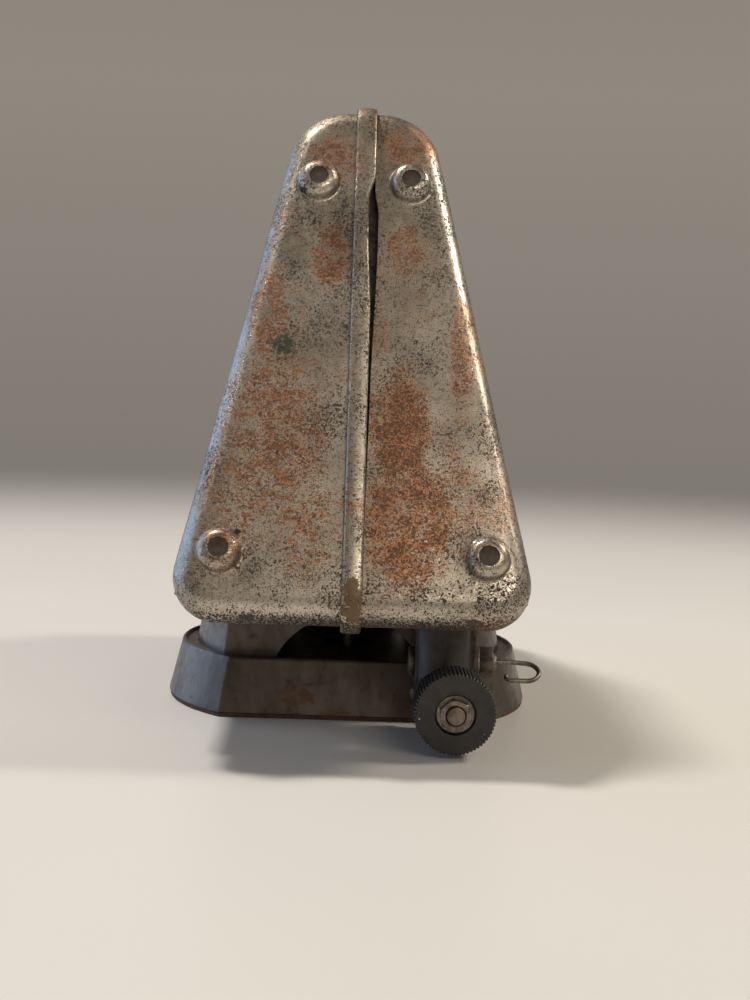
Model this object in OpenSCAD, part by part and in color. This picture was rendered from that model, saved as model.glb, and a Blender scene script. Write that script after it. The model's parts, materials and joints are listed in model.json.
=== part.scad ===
// Turn-over electric toaster, end-on: two pressed nickel half shells on a round pedestal.
// Frame: X to the right, Y towards the rear, Z up. Origin at the centre of the underside of the base.

/* [Body] */
// Height of the top of the shell above the table
body_top = 176; // [172:1:182]
// Height of the lower edge of the shell
body_bottom = 36; // [35:0.5:37]
// Half width of the end face at its lower edge, before rounding
half_width_low = 50; // [49:0.5:52]
// Half width of the end face at its top edge, before rounding
half_width_top = 18.5; // [17.5:0.5:20]
// Half length of the body at its lower edge
half_length_low = 101.5; // [99:0.5:104]
// Half length of the body at its top edge
half_length_top = 41.5; // [40:0.5:44]
// Radius of the two lower corners of the end face
corner_low = 12; // [11:0.5:12.5]
// Radius of the two upper corners of the end face
corner_top = 17; // [15.5:0.5:18]
// Radius of the rolled edge between the end face and the sides
edge_roll = 6.5; // [5.5:0.5:7.5]
// Thickness of the shell sheet
wall = 1; // [0.8:0.1:1.2]

/* [Seam rib and bosses] */
// Width of the lap rib that covers the seam
rib_width = 5.6; // [4:0.2:7]
// Height of the lap rib above the shell
rib_height = 1.8; // [1.2:0.1:2.4]
// Height of the lower pair of bosses above the table
boss_low_z = 55; // [54:0.5:60]
// Half spacing of the lower pair of bosses
boss_low_x = 35; // [33:0.5:36]
// Height of the upper pair of bosses above the table
boss_top_z = 155.2; // [150:0.1:156]
// Half spacing of the upper pair of bosses
boss_top_x = 12.9; // [12:0.1:14]
// Radius of a boss where it leaves the shell
boss_radius = 5.8; // [5:0.1:6.5]
// How far a boss stands out of the shell
boss_height = 4; // [3:0.1:4.4]

/* [Base] */
// Radius of the round sides of the skirt at the table
skirt_radius = 56; // [55:0.5:60]
// Half depth between the two flats of the skirt at the table
skirt_flat = 41.5; // [41:0.5:42]
// How much the skirt narrows from the table to its rim
skirt_flare = 4; // [2:0.2:4.4]
// Height of the rim of the skirt
skirt_height = 17.6; // [16.5:0.1:18]
// Radius of the round sides of the plinth at the deck
plinth_radius = 47.5; // [46.5:0.5:49]
// Half depth between the two flats of the plinth at the deck
plinth_flat = 29.5; // [29:0.5:30]
// How much the plinth narrows from the deck to its top
plinth_flare = 3; // [1:0.2:3.4]
// Radius of the arch through the front of the plinth
arch_radius = 24.5; // [20:0.5:25]

/* [Knob and link] */
// Distance of a knob spindle from the middle of the body
spindle_x = 28.7; // [28:0.1:29]
// Height of a knob spindle above the table
spindle_z = 12.4; // [12.2:0.1:13]
// Radius of the knurled knob
knob_radius = 11.1; // [10:0.1:11.6]
// Thickness of the knurled knob
knob_thickness = 13; // [10:0.5:14]
// Number of knurl teeth round the knob
knurl_teeth = 64; // [48:1:72]
// Radius of the knob spindle
spindle_radius = 2.4; // [2.2:0.1:2.5]
// Length of the crank on the spindle and of the equal ear on the door
crank_length = 8; // [7.5:0.1:8.2]
// Angle that the knob and the door turn through
door_travel = 90; // [60:1:90]

/* [Doors] */
// Distance of a door hinge from the middle of the body
hinge_x = 44.5; // [44.3:0.1:44.6]
// Height of a door hinge above the table
hinge_z = 43; // [42.8:0.1:43.2]
// Height of the lower edge of a door
door_low_z = 41.2; // [41:0.1:41.5]
// Height of the upper edge of a door
door_top_z = 148; // [140:1:150]
// Distance from a side edge of a door to the end face of the body
door_margin = 20; // [18:1:24]
// Thickness of the door sheet
door_sheet = 1; // [0.8:0.1:1.2]

/* [Heater] */
// Distance of the guard rods from the side of the body
guard_offset = 16.5; // [16:0.1:16.8]
// Distance of the mica cards from the side of the body
card_offset = 22.5; // [22.3:0.1:22.8]
// Number of turns of ribbon on each card
ribbon_turns = 10; // [6:1:12]

/* [Hidden] */
$fn = 64;

eps = 0.01;
slip = 0.05;                  // radial clearance of a running fit
gap = 0.2;                    // clearance between parts that do not touch
big = 400;

body_height = body_top - body_bottom;
side_slope = (half_width_low - half_width_top) / body_height;
side_angle = atan(side_slope);
end_slope = (half_length_low - half_length_top) / body_height;
lean = atan(end_slope);

function half_width(z) = half_width_low - side_slope * (z - body_bottom);
function half_length(z) = half_length_low - end_slope * (z - body_bottom);
function inside(z, offset) = half_width(z) - offset / cos(side_angle);

rib_half = rib_width / 2;
seam_slot_x = rib_half + 0.9; // middle of the open slit beside the rib
seam_slot_z = 119;
seam_slot_half = 32;
seam_slot_width = 1.8;

flange_edge = 12;             // half width of the opening between the two bottom flanges
flange_end = 70;
door_play = 0.8;              // gap round a door
opening_floor = body_bottom + wall + 0.5;

boss_land = 3.3;
boss_hole = 2.6;
frame_depth = 4;              // distance from the end face to the end frame behind it
frame_sheet = 1;
frame_low_z = 44;
frame_top_z = 162;
frame_margin = 5;
rivet_shank = 2.4;
rivet_head = boss_hole - 0.05;
rivet_body = 3.9;

floor_sheet = 1;
floor_z = body_bottom + wall + eps; // clear of the sheet it lies on
floor_top = floor_z + floor_sheet;
floor_half_width = 34.8;
floor_half_length = 82;
link_slot_in = 26;            // inner end of the slot in the floor that the link moves in
link_slot_y = 46;
link_slot_width = 4.6;

guard_rod_radius = 1.6;
guard_wire_radius = 0.75;
guard_low_z = 60;
guard_top_z = 146;
guard_wire_ends = [54, 150];
guard_wire_pitch = 13;

card_sheet = 0.8;
card_low_z = 44;
card_top_z = 145;
card_end_gap = 16;            // distance from the end of a card to the end face of the body
ribbon_sheet = 0.3;
ribbon_width = 2.2;
rail_low_height = 10;
rail_low_half = 60;
rail_top_z = 139;
rail_top_height = 10;
rail_top_half = 44;
rail_top_width = 6.4;

pad_sheet = 1.2;
base_sheet = 1.2;
deck_top = skirt_height - 1;
pad_width = 7;
plinth_sheet = 1.2;
arch_z = 5;
stud_radius = 3;
screw_radius = 1.5;
plinth_screw_x = 33;
plinth_screw_y = 20;

pin_radius = 2.38;
pin_spacing = 17.5;
pin_neck = 2;                 // radius of a pin where it passes through the insulator
pin_z = 26.3;
pin_tip_y = 48;
inlet_half_width = 18.4;
inlet_half_height = 8.3;
inlet_y = [23.5, 29.2];
shroud_end_y = 49.7;
shroud_sheet = 0.9;
bus_sheet = 0.8;
bus_width = 6;
bus_y = 17;
bus_top_z = 52;
bus_reach = 22;

block_x = 26.7;
block_half_width = 8;
block_y = [-66, -48];
block_radius = 8;
bracket_sheet = 1.5;
stud_y = -54.1;
stud_z = 21;
cross_radius = 2.4;
cross_end_x = 42;
loop_wire = 0.68;             // radius of the wire of the hairpin loop
loop_bend = 4;                // radius of the loop's bend, at the middle of the wire
loop_bend_x = 50;             // where the bend starts
loop_end_x = 44;
loop_seat = 3;                // depth of the wire in the end of the cross stud
loop_tilt = 28;               // how far the loop hangs down towards the front
washer_sheet = 0.8;
nut_flats = 7.9;
nut_height = 4;
bracket_x = block_x + block_half_width;
washer_x = bracket_x + bracket_sheet;
nut_x = washer_x + washer_sheet;

knob_front_y = -87;
knob_back_y = knob_front_y + knob_thickness;
hub_radius = 7;
recess_radius = 5.6;
recess_depth = 1.6;
spindle_front_y = knob_front_y - 2.2;
crank_y = -47.6;
crank_sheet = 1.6;
link_y = crank_y + crank_sheet + 0.1;
link_sheet = 1.4;
crank_eye = 3;
pin_small = 1.5;
open_pivot_play = 0.15;       // the upper link pivot closes the loop, so it runs with more play

centre_line = atan2(hinge_z - spindle_z, hinge_x - spindle_x);
centre_distance = norm([hinge_x - spindle_x, hinge_z - spindle_z]);
crank_angle = centre_line + 90 + door_travel / 2;
crank_step = crank_length * [cos(crank_angle), sin(crank_angle)];

hinge_rod_radius = 1.5;
knuckle_radius = 2.65;
hinge_rod_half = 78.3;
bracket_y = 59;
bracket_radius = 2.5;
bracket_foot = [39.4, 42.2];  // the foot of a hinge bracket stands between these distances from the middle
knuckle_spans = [[-78, -62], [62, 78]];
door_inset = 0.2;
tray_half = 48.5;
tray_sheet = 1;
tray_z = 45;
tray_in_x = 33;
tray_lip = 7;
louvre_count = 7;
louvre_pitch = 12;

nickel = [0.68, 0.66, 0.61];
steel = [0.45, 0.43, 0.40];
dark_steel = [0.30, 0.28, 0.26];
black = [0.07, 0.07, 0.07];
porcelain = [0.88, 0.85, 0.78];
mica = [0.72, 0.62, 0.42];
brass = [0.72, 0.56, 0.28];
brown_fibre = [0.35, 0.15, 0.10];

// ---- Shared shapes ----

// A thick disc with a fully rounded rim; its face points along +Z
module pill(radius, roll) {
    rotate_extrude($fn = 32) {
        translate([radius - roll, 0]) intersection() {
            circle(r = roll, $fn = 32);
            translate([0, -roll]) square([roll, 2 * roll]);
        }
        translate([0, -roll]) square([radius - roll, 2 * roll]);
    }
}

// Places children at a height of the rolled corner of the front end face
module at_corner(side, radius, low) {
    reach = (radius - edge_roll) * cos(lean) + edge_roll;
    z = low ? body_bottom + reach : body_top - reach;
    y = -half_length(z + edge_roll * sin(lean)) + edge_roll * cos(lean);
    translate([side * inside(z, radius), y, z]) rotate([90 - lean, 0, 0]) children();
}

// The whole body as one closed form, grown or shrunk by a sheet thickness
module body_form(grow) {
    hull() for (turn = [0, 180], side = [-1, 1]) rotate([0, 0, turn]) {
        at_corner(side, corner_low, true) pill(corner_low + grow, edge_roll + grow);
        at_corner(side, corner_top, false) pill(corner_top + grow, edge_roll + grow);
    }
}

// Places children on an end face, with +Z pointing out of it and +Y up along it
module on_end(x, z) {
    translate([x, -half_length(z), z]) rotate([90 - lean, 0, 0]) children();
}

// Places children on the right side of the body, with +Z out of it and -X up along it
module on_side(z, depth) {
    translate([half_width(z), 0, z]) rotate([0, 90 - side_angle, 0]) translate([0, 0, -depth]) children();
}

// A four-sided outline on the side of the body between two heights, at a margin from the end faces
module side_outline(z_low, z_top, margin) {
    run = (z_top - z_low) / cos(side_angle);
    low = half_length(z_low) - margin;
    top = half_length(z_top) - margin;
    polygon([[0, -low], [0, low], [-run, top], [-run, -top]]);
}

// A disc standing across the Y axis, from one y to another
module rod_y(x, z, y1, y2, radius) {
    translate([x, y1, z]) rotate([-90, 0, 0]) cylinder(r = radius, h = y2 - y1);
}

// The same part at both bearing corners: front right and rear left
module both_corners() {
    for (turn = [0, 180]) rotate([0, 0, turn]) children();
}

module hexagon(flats) {
    circle(r = flats / 2 / cos(30), $fn = 6);
}

// ---- Shells ----

module boss_profile() {
    skin = boss_height - wall;
    polygon(concat(
        [for (t = [0:10:90]) [boss_land + (boss_radius - boss_land) * cos(t), boss_height * sin(t)]],
        [[boss_hole, boss_height], [boss_hole, skin]],
        [for (t = [90:-10:0]) [boss_land + (boss_radius - wall - boss_land) * cos(t), skin * sin(t)]],
        [[boss_radius - wall, -wall], [boss_radius, -wall]]
    ));
}

// Places children on the two bosses of one side, front and rear
module at_bosses(side) {
    for (turn = [0, 180]) rotate([0, 0, turn]) {
        on_end((turn == 0 ? side : -side) * boss_low_x, boss_low_z) children();
        on_end((turn == 0 ? side : -side) * boss_top_x, boss_top_z) children();
    }
}

module door_opening() {
    on_side(opening_floor, 0) translate([0, 0, -14]) linear_extrude(30)
        side_outline(opening_floor, door_top_z + door_play, door_margin - door_play);
}

module bottom_opening() {
    translate([-flange_edge, -flange_end, body_bottom - 5])
        cube([2 * flange_edge, 2 * flange_end, 8]);
}

module link_slots() {
    both_corners() translate([link_slot_in, -link_slot_y - link_slot_width / 2, body_bottom - 1])
        cube([20, link_slot_width, 6]);
}

module plain_shell(side) {
    difference() {
        body_form(0);
        body_form(-wall);
        translate([side > 0 ? -big : 0, -big / 2, 0]) cube([big, big, big]);
        bottom_opening();
        link_slots();
        rotate([0, 0, side > 0 ? 0 : 180]) door_opening();
        at_bosses(side) translate([0, 0, -3]) cylinder(r = boss_radius - wall / 2, h = 6);
        shell_screw_holes();
    }
    at_bosses(side) rotate_extrude() boss_profile();
}

module shell_screw_holes() {
    for (x = [-1, 1], y = [-1, 1])
        translate([x * plinth_screw_x, y * plinth_screw_y, body_bottom - 2])
            cylinder(r = screw_radius + gap, h = 6);
}

// The lap rib runs up the front, over the top and down the rear
module lap_rib() {
    difference() {
        body_form(rib_height);
        body_form(0);
        translate([rib_half, -big / 2, 0]) cube([big, big, big]);
        translate([-rib_half - big, -big / 2, 0]) cube([big, big, big]);
        translate([-big / 2, -86, 0]) cube([big, 172, 60]);
    }
}

// A slit between two arcs, where the right half has sprung away from the rib
module seam_slit() {
    bow = (pow(seam_slot_half, 2) + pow(seam_slot_width / 2, 2)) / seam_slot_width;
    translate([seam_slot_x, 0, seam_slot_z]) rotate([90, 0, 0]) linear_extrude(big) intersection() {
        translate([bow - seam_slot_width / 2, 0]) circle(r = bow, $fn = 720);
        translate([seam_slot_width / 2 - bow, 0]) circle(r = bow, $fn = 720);
    }
}

module shell_left() {
    color(nickel) {
        plain_shell(-1);
        lap_rib();
    }
}

module shell_right() {
    color(nickel) difference() {
        plain_shell(1);
        seam_slit();
    }
}

module floor_plate() {
    color(steel) difference() {
        translate([-floor_half_width, -floor_half_length, floor_z])
            cube([2 * floor_half_width, 2 * floor_half_length, floor_sheet]);
        link_slots();
        shell_screw_holes();
        translate([0, 0, floor_z - 1]) cylinder(r = stud_radius + gap, h = 4);
        for (x = [-1, 1]) translate([x * pin_spacing / 2 - bus_width, bus_y - 2, floor_z - 1])
            cube([2 * bus_width, 4, 4]);
    }
}

// ---- Inner frame ----

module end_frame() {
    color(steel) difference() {
        on_end(0, frame_low_z) translate([0, 0, -frame_depth - frame_sheet]) linear_extrude(frame_sheet) {
            run = (frame_top_z - frame_low_z) / cos(lean);
            low = half_width(frame_low_z) - frame_margin;
            top = half_width(frame_top_z) - frame_margin;
            polygon([[-low, 0], [low, 0], [top, run], [-top, run]]);
        }
        for (side = [-1, 1]) {
            on_end(side * boss_low_x, boss_low_z) translate([0, 0, -8]) cylinder(r = boss_hole, h = 8);
            on_end(side * boss_top_x, boss_top_z) translate([0, 0, -8]) cylinder(r = boss_hole, h = 8);
            rod_y(side * inside(guard_low_z, guard_offset), guard_low_z, -big / 2, 0, guard_rod_radius + slip);
            rod_y(side * inside(guard_top_z, guard_offset), guard_top_z, -big / 2, 0, guard_rod_radius + slip);
        }
    }
}

module end_frame_front() { end_frame(); }
module end_frame_rear() { rotate([0, 0, 180]) end_frame(); }

// Stepped rivets that tie the shell to the end frames; their flat heads fill the bosses
module shell_rivets() {
    color(dark_steel) for (side = [-1, 1]) at_bosses(side) rotate_extrude() polygon([
        [0, boss_height - 0.4], [rivet_head, boss_height - 0.4],
        [rivet_head, boss_height - wall], [rivet_body, boss_height - wall - 1],
        [rivet_body, -frame_depth], [rivet_shank, -frame_depth],
        [rivet_shank, -frame_depth - frame_sheet], [rivet_body, -frame_depth - frame_sheet],
        [rivet_body, -frame_depth - frame_sheet - 1], [0, -frame_depth - frame_sheet - 1]
    ]);
}

module guard_rods() {
    color(steel) for (side = [-1, 1], z = [guard_low_z, guard_top_z]) {
        end = half_length(z) - (frame_depth - 1.2) / cos(lean);
        rod_y(side * inside(z, guard_offset), z, -end, end, guard_rod_radius);
    }
}

module guard_wires() {
    depth = guard_offset - guard_rod_radius - guard_wire_radius;
    run = (guard_wire_ends[1] - guard_wire_ends[0]) / cos(side_angle);
    for (i = [-3:3]) on_side(guard_wire_ends[0], depth) translate([0, i * guard_wire_pitch, 0])
        rotate([0, -90, 0]) cylinder(r = guard_wire_radius, h = run, $fn = 16);
}

module guard_wires_right() { color(steel) guard_wires(); }
module guard_wires_left() { color(steel) rotate([0, 0, 180]) guard_wires(); }

module mica_card(grow) {
    on_side(card_low_z, card_offset) translate([0, 0, -card_sheet / 2 - grow])
        linear_extrude(card_sheet + 2 * grow) side_outline(card_low_z, card_top_z, card_end_gap - grow);
}

module mica_card_right() { color(mica) mica_card(0); }
module mica_card_left() { color(mica) rotate([0, 0, 180]) mica_card(0); }

// Flat ribbon wound round a card in level turns
module heater_ribbon() {
    first = card_low_z + 12;
    pitch = (rail_top_z - 4 - first) / ribbon_turns;
    for (i = [0:ribbon_turns - 1]) {
        z = first + i * pitch;
        half = half_length(z) - card_end_gap + 0.1;
        on_side(z, card_offset) difference() {
            translate([-ribbon_width, -half - ribbon_sheet, -card_sheet / 2 - ribbon_sheet])
                cube([ribbon_width, 2 * (half + ribbon_sheet), card_sheet + 2 * ribbon_sheet]);
            translate([-ribbon_width - 1, -half, -card_sheet / 2])
                cube([ribbon_width + 2, 2 * half, card_sheet]);
        }
    }
}

module heater_ribbon_right() { color(dark_steel) heater_ribbon(); }
module heater_ribbon_left() { color(dark_steel) rotate([0, 0, 180]) heater_ribbon(); }

module card_rails_lower() {
    rail_x = inside(floor_top + rail_low_height, card_offset) - 3.2;
    color(porcelain) for (turn = [0, 180]) rotate([0, 0, turn]) difference() {
        translate([rail_x, -rail_low_half, floor_top]) cube([7.6, 2 * rail_low_half, rail_low_height]);
        mica_card(0.05);
    }
}

module card_rail_upper() {
    color(porcelain) difference() {
        translate([-rail_top_width, -rail_top_half, rail_top_z])
            cube([2 * rail_top_width, 2 * rail_top_half, rail_top_height]);
        mica_card(0.05);
        rotate([0, 0, 180]) mica_card(0.05);
    }
}

// Brass strips that carry the current from the pins up to the first turn of ribbon
module bus_bars() {
    color(brass) for (side = [-1, 1]) {
        x = side * pin_spacing / 2;
        translate([x - bus_width / 2, bus_y - bus_sheet / 2, pin_z - 3])
            cube([bus_width, bus_sheet, bus_top_z - pin_z + 3]);
        translate([x - bus_width / 2, bus_y, pin_z - 3]) cube([bus_width, inlet_y[0] - bus_y, bus_sheet]);
        translate([side > 0 ? x : -bus_reach, bus_y - bus_sheet / 2, bus_top_z - 4])
            cube([bus_reach - abs(x), bus_sheet, 4]);
    }
}

// ---- Base ----

// Round form with a flat at the front and rear, narrowing upwards
module flatted(radius, flat, height, flare) {
    intersection() {
        cylinder(r1 = radius, r2 = radius - flare, h = height, $fn = 128);
        translate([-big / 2, 0, 0]) rotate([90, 0, 90]) linear_extrude(big) polygon([
            [-flat, 0], [flat, 0], [flat - flare * 0.75, height], [flare * 0.75 - flat, height]
        ]);
    }
}

module base_skirt() {
    color(dark_steel) difference() {
        translate([0, 0, pad_sheet]) flatted(skirt_radius, skirt_flat, skirt_height - pad_sheet, skirt_flare);
        translate([0, 0, pad_sheet - eps])
            flatted(skirt_radius - base_sheet, skirt_flat - base_sheet,
                deck_top - base_sheet - pad_sheet, skirt_flare);
        translate([0, 0, deck_top])
            flatted(skirt_radius - skirt_flare - base_sheet, skirt_flat - skirt_flare * 0.75 - base_sheet, 5, 0);
        translate([0, 0, deck_top - 4]) cylinder(r = stud_radius + gap, h = 8);
    }
}

module base_plinth() {
    inner = plinth_radius - plinth_sheet;
    inner_flat = plinth_flat - plinth_sheet;
    color(dark_steel) difference() {
        translate([0, 0, deck_top]) flatted(plinth_radius, plinth_flat, body_bottom - deck_top, plinth_flare);
        translate([0, 0, deck_top - eps])
            flatted(inner, inner_flat, body_bottom - plinth_sheet - deck_top + eps, plinth_flare);
        translate([0, 0, arch_z]) rotate([90, 0, 0]) cylinder(r = arch_radius, h = plinth_flat + 5, $fn = 96);
        translate([-inlet_half_width - 0.1, 20, pin_z - inlet_half_height - 0.1])
            cube([2 * inlet_half_width + 0.2, 20, 2 * inlet_half_height + 0.2]);
        for (x = [-1, 1], y = [-1, 1])
            translate([x * plinth_screw_x, y * plinth_screw_y, body_bottom - 4])
                cylinder(r = screw_radius + slip, h = 6);
        translate([0, 0, body_bottom - 4]) cylinder(r = stud_radius + gap, h = 6);
        for (x = [-1, 1]) translate([x * pin_spacing / 2 - bus_width, bus_y - 2, body_bottom - 3])
            cube([2 * bus_width, 4, 6]);
    }
}

module base_pad() {
    color(brown_fibre) difference() {
        flatted(skirt_radius - 0.4, skirt_flat - 0.4, pad_sheet, 0);
        translate([0, 0, -1]) flatted(skirt_radius - pad_width, skirt_flat - pad_width, 5, 0);
    }
}

module bottom_plate() {
    inset = base_sheet + 0.3;
    color(steel) difference() {
        translate([0, 0, pad_sheet]) flatted(skirt_radius - inset, skirt_flat - inset, base_sheet, 0.2);
        translate([0, 0, -1]) cylinder(r = stud_radius + slip, h = 6);
    }
}

module centre_stud() {
    color(steel) translate([0, 0, pad_sheet]) cylinder(r = stud_radius, h = floor_top + 5 - pad_sheet);
}

module centre_nuts() {
    color(steel) for (z = [pad_sheet + base_sheet, floor_top]) translate([0, 0, z]) difference() {
        linear_extrude(4) hexagon(10);
        translate([0, 0, -1]) cylinder(r = stud_radius, h = 6);
    }
}

module centre_spacer() {
    color(steel) translate([0, 0, body_bottom]) difference() {
        cylinder(r = 8, h = wall);
        translate([0, 0, -1]) cylinder(r = stud_radius + gap, h = 3);
    }
}

module plinth_screws() {
    color(steel) for (x = [-1, 1], y = [-1, 1]) translate([x * plinth_screw_x, y * plinth_screw_y, 0]) {
        translate([0, 0, body_bottom - plinth_sheet]) cylinder(r = screw_radius, h = plinth_sheet + 4);
        translate([0, 0, body_bottom - plinth_sheet - 1.6]) cylinder(r = 2.8, h = 1.6);
    }
}

// ---- Cord inlet ----

module inlet_outline(grow) {
    half = inlet_half_height + grow;
    for (x = [-1, 1]) translate([x * (inlet_half_width - inlet_half_height), 0]) circle(r = half);
    translate([inlet_half_height - inlet_half_width, -half])
        square([2 * (inlet_half_width - inlet_half_height), 2 * half]);
}

module inlet_insulator() {
    color(porcelain) difference() {
        translate([0, inlet_y[1], pin_z]) rotate([90, 0, 0])
            linear_extrude(inlet_y[1] - inlet_y[0]) inlet_outline(0);
        for (x = [-1, 1]) rod_y(x * pin_spacing / 2, pin_z, 20, 40, pin_neck + slip);
    }
}

module inlet_shroud() {
    color(nickel) difference() {
        translate([0, shroud_end_y, pin_z]) rotate([90, 0, 0])
            linear_extrude(shroud_end_y - inlet_y[1]) inlet_outline(0);
        translate([0, shroud_end_y + 1, pin_z]) rotate([90, 0, 0])
            linear_extrude(shroud_end_y - inlet_y[1] + 2) inlet_outline(-shroud_sheet);
    }
}

module terminal_pins() {
    color(brass) for (x = [-1, 1]) {
        rod_y(x * pin_spacing / 2, pin_z, inlet_y[0] - 2, inlet_y[1], pin_neck);
        rod_y(x * pin_spacing / 2, pin_z, inlet_y[1], pin_tip_y - 1.2, pin_radius);
        translate([x * pin_spacing / 2, pin_tip_y - 1.2, pin_z]) rotate([-90, 0, 0])
            cylinder(r1 = pin_radius, r2 = pin_radius - 1, h = 1.2);
    }
}

// ---- Bearing corner: block, bracket, cross stud and wire loop ----

module bearing_block() {
    difference() {
        union() {
            translate([block_x - block_half_width, block_y[0] + 5, spindle_z])
                cube([2 * block_half_width, block_y[1] - block_y[0] - 5, body_bottom - spindle_z]);
            translate([block_x, block_y[0] + block_radius, spindle_z])
                cylinder(r = block_half_width, h = body_bottom - spindle_z);
            rod_y(block_x, spindle_z, block_y[0], block_y[1], block_radius);
        }
        rod_y(spindle_x, spindle_z, block_y[0] - 5, block_y[1] + 5, spindle_radius + slip);
        translate([block_x - 20, stud_y, stud_z]) rotate([0, 90, 0]) cylinder(r = cross_radius + slip, h = 40);
    }
}

module bearing_blocks() { color(black) both_corners() bearing_block(); }

module stud_brackets() {
    color(dark_steel) both_corners() difference() {
        union() {
            translate([bracket_x, stud_y - 5, stud_z])
                cube([bracket_sheet, 10, body_bottom - stud_z]);
            translate([bracket_x, stud_y, stud_z]) rotate([0, 90, 0]) cylinder(r = 5, h = bracket_sheet);
        }
        translate([bracket_x - 1, stud_y, stud_z]) rotate([0, 90, 0])
            cylinder(r = cross_radius + slip, h = bracket_sheet + 2);
    }
}

module cross_studs() {
    start = block_x - block_half_width;
    color(steel) both_corners() translate([start, stud_y, stud_z]) rotate([0, 90, 0]) difference() {
        union() {
            cylinder(r = cross_radius, h = cross_end_x - start);
            translate([0, 0, -1.8]) cylinder(r = 4, h = 1.8);
        }
        translate([0, 0, cross_end_x - start - loop_seat]) cylinder(r = loop_wire + slip, h = loop_seat + 1);
    }
}

module cross_washers() {
    color(steel) both_corners() translate([washer_x, stud_y, stud_z]) rotate([0, 90, 0]) difference() {
        cylinder(r = 4.6, h = washer_sheet);
        translate([0, 0, -1]) cylinder(r = cross_radius + slip, h = washer_sheet + 2);
    }
}

module cross_nuts() {
    color(dark_steel) both_corners() translate([nut_x, stud_y, stud_z]) rotate([0, 90, 0]) difference() {
        linear_extrude(nut_height) hexagon(nut_flats);
        translate([0, 0, -1]) cylinder(r = cross_radius, h = nut_height + 2);
    }
}

// A hairpin of wire seated in the end of the cross stud: out, round the bend and back to a free end
module wire_loops() {
    start_x = cross_end_x - loop_seat;
    color(steel) both_corners() translate([0, stud_y, stud_z]) rotate([loop_tilt, 0, 0]) {
        translate([start_x, 0, 0]) rotate([0, 90, 0])
            cylinder(r = loop_wire, h = loop_bend_x - start_x, $fn = 16);
        translate([loop_bend_x, -loop_bend, 0]) rotate([0, 0, -90])
            rotate_extrude(angle = 180) translate([loop_bend, 0]) circle(r = loop_wire, $fn = 16);
        translate([loop_end_x, -2 * loop_bend, 0]) rotate([0, 90, 0])
            cylinder(r = loop_wire, h = loop_bend_x - loop_end_x, $fn = 16);
    }
}

// ---- Knob, spindle, crank and link ----

module knob() {
    difference() {
        union() {
            rod_y(spindle_x, spindle_z, knob_front_y, knob_back_y, knob_radius - 0.45);
            translate([spindle_x, knob_back_y, spindle_z]) rotate([90, 0, 0])
                linear_extrude(knob_thickness) knurl_outline();
            rod_y(spindle_x, spindle_z, knob_back_y, block_y[0] - gap, hub_radius);
        }
        rod_y(spindle_x, spindle_z, knob_front_y - 1, block_y[0] + 5, spindle_radius);
        rod_y(spindle_x, spindle_z, knob_front_y - 1, knob_front_y + recess_depth, recess_radius);
    }
}

module knurl_outline() {
    step = 360 / knurl_teeth;
    polygon([for (i = [0:knurl_teeth - 1], k = [0, 1])
        (knob_radius - (k == 0 ? 0 : 0.5)) * [cos((i + k / 2) * step), sin((i + k / 2) * step)]]);
}

module knob_washer() {
    difference() {
        rod_y(spindle_x, spindle_z, knob_front_y + recess_depth - 0.5, knob_front_y + recess_depth, 5);
        rod_y(spindle_x, spindle_z, knob_front_y, knob_front_y + 5, spindle_radius);
    }
}

module knob_nut() {
    nut_back = knob_front_y + recess_depth - 0.5;
    translate([spindle_x, nut_back, spindle_z]) rotate([90, 0, 0]) difference() {
        linear_extrude(2.6) rotate(10) hexagon(nut_flats);
        translate([0, 0, -1]) cylinder(r = spindle_radius, h = 6);
    }
}

module crank_pin(point) {
    rod_y(point[0], point[1], crank_y, link_y + link_sheet + gap, pin_small);
}

module spindle() {
    crank_end = [spindle_x, spindle_z] + crank_step;
    rod_y(spindle_x, spindle_z, spindle_front_y, crank_y + crank_sheet, spindle_radius);
    rod_y(spindle_x, spindle_z, crank_y, crank_y + crank_sheet, 4.5);
    rod_y(crank_end[0], crank_end[1], crank_y, crank_y + crank_sheet, crank_eye);
    translate([spindle_x, crank_y, spindle_z]) rotate([0, -crank_angle, 0])
        translate([0, 0, -2.8]) cube([crank_length, crank_sheet, 5.6]);
    crank_pin(crank_end);
}

module link() {
    low = [spindle_x, spindle_z] + crank_step;
    high = [hinge_x, hinge_z] + crank_step;
    difference() {
        union() {
            rod_y(low[0], low[1], link_y, link_y + link_sheet, crank_eye);
            rod_y(high[0], high[1], link_y, link_y + link_sheet, crank_eye);
            translate([low[0], link_y, low[1]]) rotate([0, -centre_line, 0])
                translate([0, 0, -2]) cube([centre_distance, link_sheet, 4]);
        }
        rod_y(low[0], low[1], link_y - 1, link_y + 5, pin_small + slip);
        rod_y(high[0], high[1], link_y - 1, link_y + 5, pin_small + open_pivot_play);
    }
}

module knob_right() { color(black) knob(); }
module knob_left() { color(black) rotate([0, 0, 180]) knob(); }
module knob_washer_right() { color(steel) knob_washer(); }
module knob_washer_left() { color(steel) rotate([0, 0, 180]) knob_washer(); }
module knob_nut_right() { color(steel) knob_nut(); }
module knob_nut_left() { color(steel) rotate([0, 0, 180]) knob_nut(); }
module spindle_right() { color(steel) spindle(); }
module spindle_left() { color(steel) rotate([0, 0, 180]) spindle(); }
module link_right() { color(steel) link(); }
module link_left() { color(steel) rotate([0, 0, 180]) link(); }

// ---- Doors ----

module hinge_rods() {
    color(steel) for (side = [-1, 1])
        rod_y(side * hinge_x, hinge_z, -hinge_rod_half, hinge_rod_half, hinge_rod_radius);
}

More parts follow.
